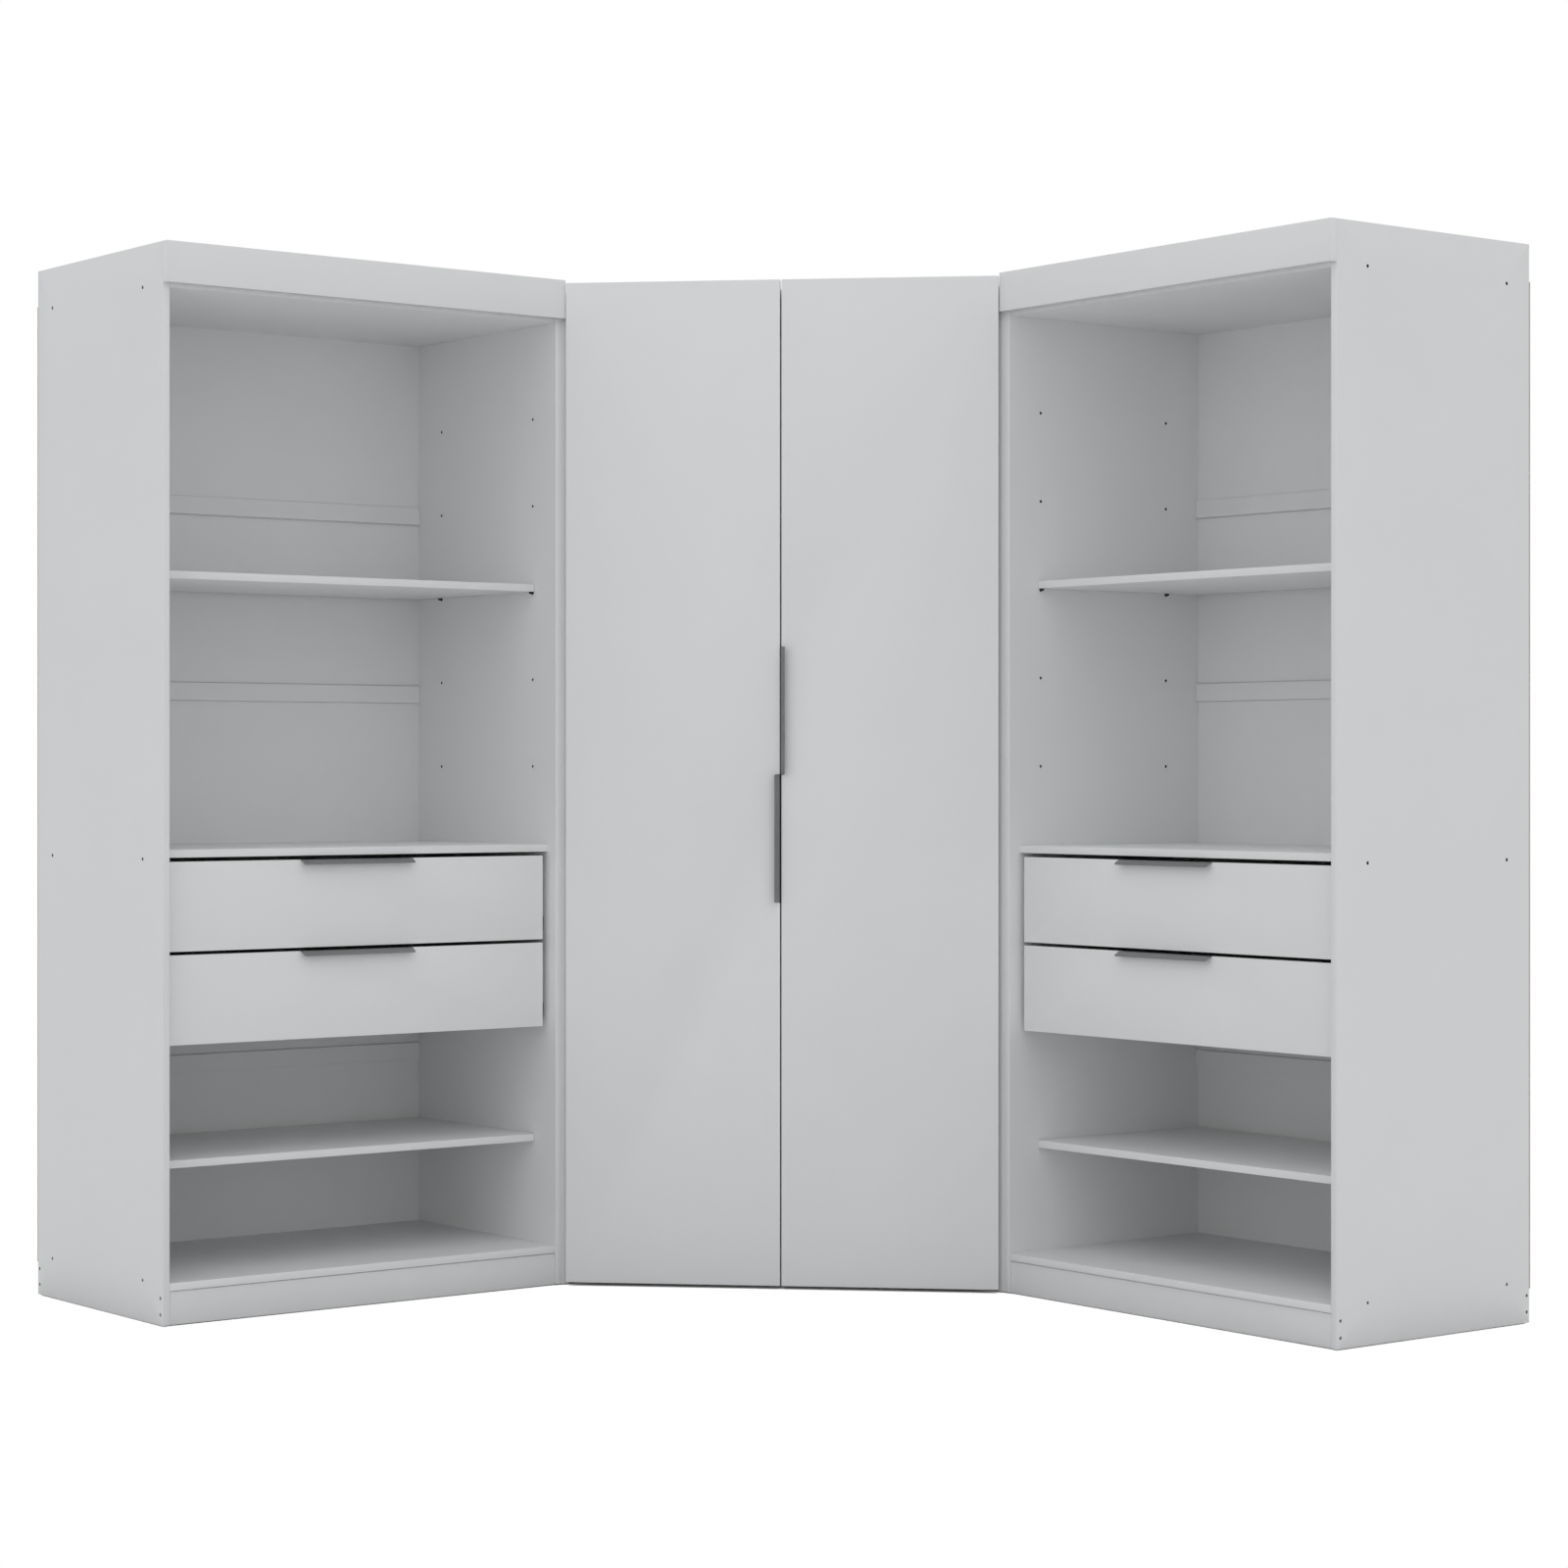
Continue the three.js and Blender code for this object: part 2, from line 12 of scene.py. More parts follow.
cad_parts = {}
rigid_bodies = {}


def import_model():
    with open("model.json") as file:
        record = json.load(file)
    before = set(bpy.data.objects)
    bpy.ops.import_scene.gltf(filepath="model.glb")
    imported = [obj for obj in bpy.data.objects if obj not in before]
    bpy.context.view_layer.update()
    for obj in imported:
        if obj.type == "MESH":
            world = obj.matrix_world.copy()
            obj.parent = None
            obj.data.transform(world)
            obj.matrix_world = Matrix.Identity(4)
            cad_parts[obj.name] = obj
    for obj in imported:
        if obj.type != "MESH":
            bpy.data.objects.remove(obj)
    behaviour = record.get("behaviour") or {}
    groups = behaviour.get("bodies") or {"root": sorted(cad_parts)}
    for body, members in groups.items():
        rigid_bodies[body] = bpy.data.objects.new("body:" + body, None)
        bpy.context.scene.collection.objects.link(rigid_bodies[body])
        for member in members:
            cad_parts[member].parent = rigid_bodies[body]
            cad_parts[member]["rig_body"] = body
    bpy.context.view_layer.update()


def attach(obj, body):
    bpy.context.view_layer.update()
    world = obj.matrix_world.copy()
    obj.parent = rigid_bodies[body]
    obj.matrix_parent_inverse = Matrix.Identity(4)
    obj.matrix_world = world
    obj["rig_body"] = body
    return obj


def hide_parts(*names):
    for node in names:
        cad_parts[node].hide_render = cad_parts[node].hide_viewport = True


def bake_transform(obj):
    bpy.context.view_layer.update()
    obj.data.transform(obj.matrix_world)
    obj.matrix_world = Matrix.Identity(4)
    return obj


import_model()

# ---------------------------------------------------------------- sizes, as in the CAD model
BOARD = 15.0
SPAN = 2094.0
CORNER = 1178.0
HEIGHT = 2065.0
SIDE_FRONT = 533.0
BACK = 3.0
PLINTH_HEIGHT = 65.0
TOP_UNDERSIDE = 1978.0
FASCIA_BOTTOM = 1986.0
FIXED_SHELF_Z, UPPER_SHELF_Z, LOWER_SHELF_Z = 890.0, 1428.0, 289.0
SHELF_FRONT, LOOSE_FRONT, LOOSE_BACK = 505.0, 456.0, 11.0
BAND_Z, BAND_HEIGHT, BAND_FRONT = (430.0, 1203.0, 1590.0), 37.0, 9.0
PIN_X, PIN_Z = (96.0, 448.0), (296.5, 1065.5, 1245.5, 1425.5, 1605.5, 1785.5)
PLINTH_FRONT = 530.0
SCREW_AT = [(x, z) for x in (67.5, 451.5) for z in (78.5, 887.0, 1984.5)]
SCREW_AT += [(x, z) for x in (10.5, 523.5) for z in (20.5, 52.0)]
OUTER, INNER = -SPAN, -CORNER
Y0, Y1 = OUTER + BOARD, INNER - BOARD            # inner faces of a wing's sides
D0, D1 = Y0 + 13.0, Y1 - 13.0                    # ends of the drawers
FACE, REAR = 505.0, 490.0                        # a drawer front's two faces
DRAWER_Z = {"upper": 709.5, "lower": 530.2}
PULL_CENTRE = {"left": 445.0, "right": 479.0}
DOOR_PULL_Z = {"left": 788.0, "right": 1048.5}
MID = (SIDE_FRONT + CORNER) / 2
HINGE_Z = (120.0, 1030.0, 1940.0)
R2 = math.sqrt(2.0)

# ---------------------------------------------------------------- meshes


class Shape:
    """Points in millimetres, and faces as (point numbers, name of the material, smooth or not)."""

    def __init__(self):
        self.points, self.faces = [], []

    def add(self, points, faces):
        base = len(self.points)
        self.points += [tuple(p) for p in points]
        self.faces += [(tuple(base + i for i in f), m, s) for f, m, s in faces]
        return self

    def join(self, *others):
        for o in others:
            self.add(o.points, o.faces)
        return self

    def mapped(self, place):
        made = Shape()
        made.points = [place(*p) for p in self.points]
        made.faces = list(self.faces)
        return made


def reflected(x, y, z):
    """The right wing is the left one reflected across the corner's diagonal."""
    return (-y, -x, z)


def rect(u0, u1, v0, v1):
    return [(u0, v0), (u1, v0), (u1, v1), (u0, v1)]


def turned(points):
    """The outline in counter-clockwise order."""
    area = sum(a[0] * b[1] - b[0] * a[1] for a, b in zip(points, points[1:] + points[:1]))
    return list(points) if area > 0 else list(reversed(points))


def rounded(points, radius=1.0, steps=2, inner=0.0):
    """Rounds an outline's outward corners, and its inward ones where inner is over 0. radius may be a list."""
    points = turned(points) if not isinstance(radius, list) else points
    out, n = [], len(points)
    for i, p in enumerate(points):
        a, b = points[i - 1], points[(i + 1) % n]
        la, lb = math.dist(a, p), math.dist(p, b)
        d0 = ((p[0] - a[0]) / la, (p[1] - a[1]) / la)
        d1 = ((b[0] - p[0]) / lb, (b[1] - p[1]) / lb)
        turn = math.atan2(d0[0] * d1[1] - d0[1] * d1[0], d0[0] * d1[0] + d0[1] * d1[1])
        r = radius[i] if isinstance(radius, list) else (radius if turn > 0 else inner)
        if abs(turn) < 0.02 or r <= 0:
            out.append(p)
            continue
        sign = 1.0 if turn > 0 else -1.0
        t = min(r * math.tan(abs(turn) / 2), 0.49 * la, 0.49 * lb)
        r = t / math.tan(abs(turn) / 2)
        c = (p[0] - d0[0] * t - sign * d0[1] * r, p[1] - d0[1] * t + sign * d0[0] * r)
        s = (p[0] - d0[0] * t - c[0], p[1] - d0[1] * t - c[1])
        for k in range(steps + 1):
            q = turn * k / steps
            out.append((c[0] + s[0] * math.cos(q) - s[1] * math.sin(q), c[1] + s[0] * math.sin(q) + s[1] * math.cos(q)))
    return out


def inset(points, by):
    """A counter-clockwise outline moved inwards."""
    out, n = [], len(points)
    for i, p in enumerate(points):
        a, b = points[i - 1], points[(i + 1) % n]
        la, lb = math.dist(a, p) or 1.0, math.dist(p, b) or 1.0
        n0 = (-(p[1] - a[1]) / la, (p[0] - a[0]) / la)
        n1 = (-(b[1] - p[1]) / lb, (b[0] - p[0]) / lb)
        k = by / max(0.3, 1 + n0[0] * n1[0] + n0[1] * n1[1])
        out.append((p[0] + (n0[0] + n1[0]) * k, p[1] + (n0[1] + n1[1]) * k))
    return out


def inside(q, outline):
    found, n = False, len(outline)
    for i in range(n):
        (x0, y0), (x1, y1) = outline[i - 1], outline[i]
        if (y0 > q[1]) != (y1 > q[1]) and q[0] < (x1 - x0) * (q[1] - y0) / (y1 - y0) + x0:
            found = not found
    return found


def circle(u, v, r, n, start=0.0):
    return [(u + r * math.cos(start + 2 * math.pi * k / n), v + r * math.sin(start + 2 * math.pi * k / n)) for k in range(n)]


def plate(outline, w0, w1, to, mats=("laminate", "laminate"), edge="band", bevel=0.8, steps=2, high=(), low=(), through=(), smooth_edge=False):
    """A flat piece: an outline (u, v) from w0 up to w1, with its rims rounded by bevel. mats are the materials of the
    high and low faces; edge is the edge's, or a function of its outward direction (nu, nv). high and low are blind holes
    in those faces, as (u, v, radius, depth, wall, floor), and through are holes right through, as (u, v, radius, wall).
    to places a point."""
    outline = turned(outline)
    n = len(outline)
    made = Shape()
    rings, heights = [], []
    for k in range(steps + 1):
        a = math.pi / 2 * k / steps
        rings.append(inset(outline, bevel * (1 - math.sin(a))) if k < steps else list(outline))
        heights.append(bevel * (1 - math.cos(a)))
    points = []
    for ring, h in zip(rings, heights):
        points += [(u, v, w1 - h) for u, v in ring]
    for ring, h in reversed(list(zip(rings, heights))):
        points += [(u, v, w0 + h) for u, v in ring]
    levels = 2 * (steps + 1)
    faces = []
    for i in range(n):
        j = (i + 1) % n
        du, dv = outline[j][0] - outline[i][0], outline[j][1] - outline[i][1]
        size = math.hypot(du, dv) or 1.0
        m = edge(dv / size, -du / size) if callable(edge) else edge
        for k in range(levels - 1):
            rim = mats[0] if m == "chipboard" and k != steps else m
            faces.append(((k * n + j, k * n + i, (k + 1) * n + i, (k + 1) * n + j), rim, smooth_edge))
    holes = {0: [], 1: []}
    for face, given, w, into in ((0, high, w1, -1), (1, low, w0, 1)):
        for u, v, r, depth, wall, floor in given:
            sides = 16 if r < 6 else 36
            first = len(points)
            for ring_r, at in ((r + 0.25, 0.0), (r, 0.25), (r, depth)):
                points += [(a, b, w + into * at) for a, b in circle(u, v, ring_r, sides)]
            for k in range(2):
                for i in range(sides):
                    j = (i + 1) % sides
                    a = first + k * sides
                    faces.append(((a + i, a + j, a + sides + j, a + sides + i), wall if k else mats[face], k > 0))
            faces.append((tuple(first + 2 * sides + i for i in range(sides)), floor, False))
            holes[face].append((first, sides, u, v, r + 0.25))
    for u, v, r, wall in through:
        sides = 36 if r > 6 else 16
        first = len(points)
        for ring_r, at in ((r + 0.25, w1), (r, w1 - 0.25), (r, w0 + 0.25), (r + 0.25, w0)):
            points += [(a, b, at) for a, b in circle(u, v, ring_r, sides)]
        for k in range(3):
            for i in range(sides):
                j = (i + 1) % sides
                a = first + k * sides
                faces.append(((a + i, a + j, a + sides + j, a + sides + i), wall, True))
        holes[0].append((first, sides, u, v, r + 0.25))
        holes[1].append((first + 3 * sides, sides, u, v, r + 0.25))
    for face in (0, 1):
        start = 0 if face == 0 else (levels - 1) * n
        if not holes[face]:
            faces.append((tuple(start + i for i in range(n)), mats[face], False))
            continue
        numbers = [start + i for i in range(n)]
        edges = [(i, (i + 1) % n) for i in range(n)]
        for first, sides, *_ in holes[face]:
            at = len(numbers)
            numbers += [first + i for i in range(sides)]
            edges += [(at + i, at + (i + 1) % sides) for i in range(sides)]
        flat = [Vector((points[i][0], points[i][1])) for i in numbers]
        new, _, triangles, origin, _, _ = delaunay_2d_cdt(flat, edges, [], 0, 1e-6)
        border = rings[0]
        for t in triangles:
            c = (sum(new[i].x for i in t) / len(t), sum(new[i].y for i in t) / len(t))
            if not inside(c, border):
                continue
            if any(math.dist(c, (u, v)) < r * 0.999 * math.cos(math.pi / sides) for _, sides, u, v, r in holes[face]):
                continue
            faces.append((tuple(numbers[origin[i][0]] for i in t), mats[face], False))
    made.points = [to(*p) for p in points]
    made.faces = faces
    return made


def flat_z(u, v, w):
    return (u, v, w)


def flat_y(u, v, w):
    """Outline in x and z, thickness along y."""
    return (u, w, v)


def flat_x(u, v, w):
    """Outline in y and z, thickness along x."""
    return (w, u, v)


def lathe(profile, to, n=24, mats="steel", smooth=True, closed=False):
    """A turned piece. profile is (radius, height) from the axis back to the axis, or a closed ring. to places
    (across, across, height). mats is one material, or one for each step of the profile."""
    points, rows = [], []
    for r, h in profile:
        if r <= 1e-9:
            rows.append([len(points)] * n)
            points.append((0.0, 0.0, h))
        else:
            rows.append(list(range(len(points), len(points) + n)))
            points += [(r * math.cos(2 * math.pi * k / n), r * math.sin(2 * math.pi * k / n), h) for k in range(n)]
    faces = []
    steps = list(zip(range(len(rows)), range(1, len(rows)))) + ([(len(rows) - 1, 0)] if closed else [])
    for s, (a, b) in enumerate(steps):
        m = mats if isinstance(mats, str) else mats[s % len(mats)]
        level = abs(profile[a][1] - profile[b][1]) < 1e-9
        for i in range(n):
            j = (i + 1) % n
            ring = []
            for k in (rows[a][i], rows[a][j], rows[b][j], rows[b][i]):
                if k not in ring:
                    ring.append(k)
            if len(ring) > 2:
                faces.append((tuple(ring), m, smooth and not level))
    made = Shape()
    made.points = [to(*p) for p in points]
    made.faces = faces
    return made


def sweep(rings, mat, closed_ends=True, smooth=True):
    """A skin over rings of points, each with the same number of points."""
    n = len(rings[0])
    points = [p for ring in rings for p in ring]
    faces = []
    for k in range(len(rings) - 1):
        for i in range(n):
            j = (i + 1) % n
            faces.append(((k * n + i, k * n + j, (k + 1) * n + j, (k + 1) * n + i), mat, smooth))
    if closed_ends:
        faces.append((tuple(range(n)), mat, False))
        faces.append((tuple(range((len(rings) - 1) * n, len(rings) * n)), mat, False))
    made = Shape()
    made.points, made.faces = points, faces
    return made


def star(k, n, kind, size):
    """Radius of a screw's recess at step k of n: a hexagon or a cross."""
    a = 2 * math.pi * k / n
    if kind == "hex":
        q = a % (math.pi / 3) - math.pi / 6
        return size / math.cos(q)
    q = abs((a + math.pi / 4) % (math.pi / 2) - math.pi / 4)
    half = size * 0.24
    return min(size / max(math.cos(q), 1e-6), half / max(math.sin(q), 1e-6))


def screw_head(to, r, top, bottom, kind="cross", size=None, depth=1.4, mat="zinc", dome=0.0, dark="recess", n=24):
    """A screw's head with its driver recess, whose walls and floor take the dark material: painted shade. Heights run
    outwards; to places (across, across, height).
    """
    n = 48 if kind == "cross" else n
    size = size or r * 0.62
    ring = lambda radius, h: [(radius * math.cos(2 * math.pi * k / n), radius * math.sin(2 * math.pi * k / n), h) for k in range(n)]
    mouth = lambda scale, h: [(star(k, n, kind, size * scale) * math.cos(2 * math.pi * k / n), star(k, n, kind, size * scale) * math.sin(2 * math.pi * k / n), h) for k in range(n)]
    levels = [(ring(r, bottom), mat), (ring(r, top - 0.35 - dome), mat), (ring(r * 0.93, top - 0.08 - dome), mat)]
    if dome:
        levels.append((ring(r * 0.8, top - dome * 0.35), mat))
    levels += [(mouth(1.06, top), mat), (mouth(1.0, top - 0.15), mat), (mouth(0.86 if kind == "cross" else 1.0, top - depth), dark)]
    points, faces = [], []
    for k, (row, m) in enumerate(levels):
        points += row
        if k:
            a, b = (k - 1) * n, k * n
            for i in range(n):
                j = (i + 1) % n
                faces.append(((a + i, a + j, b + j, b + i), m, k in (1, 2, 3)))
    faces.append((tuple(range(n)), mat, False))
    last = (len(levels) - 1) * n
    faces.append((tuple(last + i for i in range(n)), dark, False))
    made = Shape()
    made.points = [to(*p) for p in points]
    made.faces = faces
    return made


# ---------------------------------------------------------------- materials

MATERIALS = {}


def new_material(name):
    m = bpy.data.materials.new(name)
    m.use_nodes = True
    tree = m.node_tree
    tree.nodes.clear()
    out = tree.nodes.new("ShaderNodeOutputMaterial")
    shader = tree.nodes.new("ShaderNodeBsdfPrincipled")
    tree.links.new(shader.outputs["BSDF"], out.inputs["Surface"])
    place = tree.nodes.new("ShaderNodeTexCoord")
    return m, tree, shader, place


def noise(tree, vector, scale, detail=2.0, rough=0.5, stretch=None):
    if stretch:
        mapping = tree.nodes.new("ShaderNodeMapping")
        mapping.inputs["Scale"].default_value = stretch
        tree.links.new(vector, mapping.inputs["Vector"])
        vector = mapping.outputs["Vector"]
    node = tree.nodes.new("ShaderNodeTexNoise")
    node.inputs["Scale"].default_value = scale
    node.inputs["Detail"].default_value = detail
    node.inputs["Roughness"].default_value = rough
    tree.links.new(vector, node.inputs["Vector"])
    return node.outputs["Fac"]


def ramp(tree, value, low, high, from_low=0.3, from_high=0.7):
    """A value mapped to a range."""
    node = tree.nodes.new("ShaderNodeMapRange")
    node.inputs["From Min"].default_value, node.inputs["From Max"].default_value = from_low, from_high
    node.inputs["To Min"].default_value, node.inputs["To Max"].default_value = low, high
    tree.links.new(value, node.inputs["Value"])
    return node.outputs["Result"]


def mixed(tree, factor, a, b, blend="MIX"):
    node = tree.nodes.new("ShaderNodeMix")
    node.data_type = "RGBA"
    node.blend_type = blend
    for socket, value in ((node.inputs[0], factor), (node.inputs[6], a), (node.inputs[7], b)):
        if isinstance(value, (int, float)):
            socket.default_value = value
        elif isinstance(value, tuple):
            socket.default_value = (*value, 1.0)
        else:
            tree.links.new(value, socket)
    return node.outputs[2]


def bumped(tree, shader, height, strength, distance, under=None):
    node = tree.nodes.new("ShaderNodeBump")
    node.inputs["Strength"].default_value = strength
    node.inputs["Distance"].default_value = distance
    tree.links.new(height, node.inputs["Height"])
    if under:
        tree.links.new(under, node.inputs["Normal"])
    tree.links.new(node.outputs["Normal"], shader.inputs["Normal"])
    return node.outputs["Normal"]


def laminate(name, dark, light, rough, pearl=0.10, cloud=5.0):
    """Melamine faced board: a fine pearled face, with a cloudy change of tone that is only just there."""
    m, tree, shader, place = new_material(name)
    at = place.outputs["Object"]
    clouds = noise(tree, at, cloud, 3.0, 0.55)
    flecks = noise(tree, at, 420.0, 2.0, 0.6)
    both = tree.nodes.new("ShaderNodeMath")
    both.operation = "MULTIPLY_ADD"
    tree.links.new(flecks, both.inputs[0])
    both.inputs[1].default_value = 0.35
    tree.links.new(clouds, both.inputs[2])
    tree.links.new(mixed(tree, ramp(tree, both.outputs[0], 0.0, 1.0, 0.42, 0.92), dark, light), shader.inputs["Base Color"])
    tree.links.new(ramp(tree, noise(tree, at, 38.0, 3.0, 0.6), rough - 0.035, rough + 0.035), shader.inputs["Roughness"])
    shader.inputs["Specular IOR Level"].default_value = 0.42
    grain = noise(tree, at, 1150.0, 2.0, 0.5)
    peel = noise(tree, at, 150.0, 2.0, 0.5)
    first = bumped(tree, shader, peel, pearl * 0.6, 0.0006)
    bumped(tree, shader, grain, pearl, 0.00025, first)
    MATERIALS[name] = m
    return m


def chipboard(name="chipboard"):
    """The raw core of a board: pressed wood chips."""
    m, tree, shader, place = new_material(name)
    at = place.outputs["Object"]
    chips = tree.nodes.new("ShaderNodeTexVoronoi")
    chips.feature = "F1"
    chips.inputs["Scale"].default_value = 340.0
    chips.inputs["Randomness"].default_value = 1.0
    tree.links.new(at, chips.inputs["Vector"])
    tone = tree.nodes.new("ShaderNodeSeparateColor")
    tree.links.new(chips.outputs["Color"], tone.inputs["Color"])
    colour = mixed(tree, tone.outputs[0], (0.32, 0.215, 0.125), (0.56, 0.42, 0.27))
    colour = mixed(tree, ramp(tree, noise(tree, at, 900.0, 3.0, 0.7), 0.0, 0.5), colour, (0.20, 0.125, 0.07))
    tree.links.new(colour, shader.inputs["Base Color"])
    shader.inputs["Roughness"].default_value = 0.86
    shader.inputs["Specular IOR Level"].default_value = 0.25
    bumped(tree, shader, chips.outputs["Distance"], 0.5, 0.0006)
    MATERIALS[name] = m
    return m


def hardboard(name, dark, light, rough, fibre=1.0):
    """Thin fibreboard: matted fibres, a little darker where they lie close."""
    m, tree, shader, place = new_material(name)
    at = place.outputs["Object"]
    clouds = noise(tree, at, 7.0, 4.0, 0.6)
    fibres = noise(tree, at, 260.0, 4.0, 0.7, stretch=(1.0, 1.0, 3.0))
    both = tree.nodes.new("ShaderNodeMath")
    both.operation = "MULTIPLY_ADD"
    tree.links.new(fibres, both.inputs[0])
    both.inputs[1].default_value = 0.6 * fibre
    tree.links.new(clouds, both.inputs[2])
    tree.links.new(mixed(tree, ramp(tree, both.outputs[0], 0.0, 1.0, 0.45, 1.1), dark, light), shader.inputs["Base Color"])
    tree.links.new(ramp(tree, fibres, rough - 0.05, rough + 0.05), shader.inputs["Roughness"])
    shader.inputs["Specular IOR Level"].default_value = 0.3
    bumped(tree, shader, noise(tree, at, 520.0, 3.0, 0.65, stretch=(1.0, 1.0, 2.2)), 0.12 * fibre, 0.0004)
    MATERIALS[name] = m
    return m


def metal(name, dark, light, rough, spread=0.06, brush=None, brush_scale=700.0, bump=0.05, mottled=8.0, metallic=1.0):
    """Metal with fine brushing along one way (brush stretches the pattern), or a faint mottle."""
    m, tree, shader, place = new_material(name)
    at = place.outputs["Object"]
    shader.inputs["Metallic"].default_value = metallic
    lines = noise(tree, at, brush_scale, 3.0, 0.6, stretch=brush)
    patches = noise(tree, at, mottled, 3.0, 0.6)
    both = tree.nodes.new("ShaderNodeMath")
    both.operation = "MULTIPLY_ADD"
    tree.links.new(lines, both.inputs[0])
    both.inputs[1].default_value = 0.5
    tree.links.new(patches, both.inputs[2])
    tree.links.new(mixed(tree, ramp(tree, both.outputs[0], 0.0, 1.0, 0.45, 1.05), dark, light), shader.inputs["Base Color"])
    tree.links.new(ramp(tree, lines, rough - spread, rough + spread), shader.inputs["Roughness"])
    bumped(tree, shader, lines, bump, 0.0002)
    MATERIALS[name] = m
    return m


def moulded(name, dark, light, rough, grain=1600.0, bump=0.08):
    m, tree, shader, place = new_material(name)
    at = place.outputs["Object"]
    tree.links.new(mixed(tree, ramp(tree, noise(tree, at, 60.0, 3.0, 0.6), 0.0, 1.0), dark, light), shader.inputs["Base Color"])
    tree.links.new(ramp(tree, noise(tree, at, 300.0, 2.0, 0.5), rough - 0.05, rough + 0.05), shader.inputs["Roughness"])
    shader.inputs["Specular IOR Level"].default_value = 0.45
    bumped(tree, shader, noise(tree, at, grain, 2.0, 0.5), bump, 0.0002)
    MATERIALS[name] = m
    return m


laminate("laminate", (0.852, 0.860, 0.862), (0.868, 0.876, 0.878), 0.47)
laminate("band", (0.840, 0.848, 0.851), (0.857, 0.865, 0.868), 0.40, pearl=0.05, cloud=9.0)
# a lighter copy of the edge band: painted light on the inner side boards' front edges, beside the doors
laminate("bright_band", (0.892, 0.900, 0.903), (0.908, 0.916, 0.919), 0.40, pearl=0.05, cloud=9.0)
# a darker copy of the laminate: painted shade on the outer side boards' outer faces
laminate("side_laminate", (0.826, 0.834, 0.836), (0.842, 0.850, 0.852), 0.47)
# a darker copy of the laminate: painted shade on the plinth and the bottom board, near the floor
laminate("plinth_laminate", (0.798, 0.806, 0.808), (0.814, 0.822, 0.824), 0.47)
# a darker copy of the edge band: painted shade under the fascia and on the top board's front edge
laminate("underside_band", (0.757, 0.764, 0.767), (0.772, 0.779, 0.782), 0.40, pearl=0.05, cloud=9.0)
laminate("drawer_laminate", (0.850, 0.858, 0.860), (0.866, 0.874, 0.876), 0.50)
hardboard("back_front", (0.836, 0.844, 0.847), (0.858, 0.866, 0.869), 0.56, fibre=0.35)
hardboard("back_rear", (0.250, 0.170, 0.105), (0.335, 0.235, 0.150), 0.74)
chipboard()
metal("pull_metal", (0.262, 0.264, 0.268), (0.300, 0.302, 0.306), 0.46, brush=(1.0, 1.0, 1.0), metallic=0.75)
metal("zinc", (0.56, 0.565, 0.57), (0.64, 0.645, 0.65), 0.33, mottled=45.0)
metal("nickel", (0.60, 0.595, 0.585), (0.68, 0.675, 0.665), 0.24, mottled=30.0, bump=0.03)
metal("chrome", (0.78, 0.785, 0.79), (0.84, 0.845, 0.85), 0.09, spread=0.02, mottled=12.0, bump=0.01)
metal("dark_zinc", (0.200, 0.200, 0.202), (0.250, 0.250, 0.252), 0.5, mottled=60.0)
metal("gunmetal", (0.060, 0.060, 0.062), (0.085, 0.085, 0.088), 0.38, mottled=40.0)
# near-black metal for the inside of driver recesses: painted shade
metal("recess", (0.055, 0.055, 0.055), (0.085, 0.085, 0.085), 0.55, mottled=60.0)
# near-black inside of drilled holes: painted shade
moulded("bore", (0.035, 0.030, 0.026), (0.055, 0.048, 0.040), 0.8, grain=700.0, bump=0.3)
moulded("white_nylon", (0.66, 0.66, 0.65), (0.72, 0.72, 0.71), 0.42)
moulded("clear_grey_rubber", (0.42, 0.425, 0.43), (0.48, 0.485, 0.49), 0.5)

# ---------------------------------------------------------------- making the pieces


def emit(name, shape, body, slot, *replaced):
    """Makes the mesh of a shape, riding on a body, and hides the CAD nodes that it stands for; slot is not used."""
    used = []
    for _, m, _ in shape.faces:
        if m not in used:
            used.append(m)
    mesh = bpy.data.meshes.new(name)
    mesh.from_pydata([((x - SPAN / 2) / 1000, (y + SPAN / 2) / 1000, z / 1000) for x, y, z in shape.points], [], [f for f, _, _ in shape.faces])
    for m in used:
        mesh.materials.append(MATERIALS[m])
    mesh.polygons.foreach_set("material_index", [used.index(m) for _, m, _ in shape.faces])
    mesh.polygons.foreach_set("use_smooth", [s for _, _, s in shape.faces])
    bm = bmesh.new()
    bm.from_mesh(mesh)
    bmesh.ops.recalc_face_normals(bm, faces=bm.faces)
    bm.to_mesh(mesh)
    bm.free()
    mesh.set_sharp_from_angle(angle=math.radians(33))
    ob = bpy.data.objects.new(name, mesh)
    bpy.context.scene.collection.objects.link(ob)
    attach(ob, body)
    if replaced:
        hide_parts(*replaced)
    return ob


def towards(*raw):
    """Material of an edge by its outward direction: raw core where it is hidden in use, else an edge band. raw names
    are u+, u-, v+ and v-."""
    def pick(nu, nv):
        for name, value in (("u+", nu), ("u-", -nu), ("v+", nv), ("v-", -nv)):
            if name in raw and value > 0.8:
                return "chipboard"
        return "band"
    return pick


# shelf-pin holes, their walls and floors in the near-black material: painted shade
HOLE = lambda u, v: (u, v, 3.0, 10.0, "bore", "bore")
SUNK = lambda u, v: (u, v, 3.5, 3.0, "chipboard", "chipboard")


def along_y(cx, cy, cz, way=1.0):
    """Places a turned piece with its axis along y; heights grow along way."""
    return lambda a, b, h: (cx + a, cy + way * h, cz + b)


def along_x(cx, cy, cz, way=1.0):
    return lambda a, b, h: (cx + way * h, cy + a, cz + b)


def along_z(cx, cy, cz, way=1.0):
    return lambda a, b, h: (cx + a, cy + b, cz + way * h)


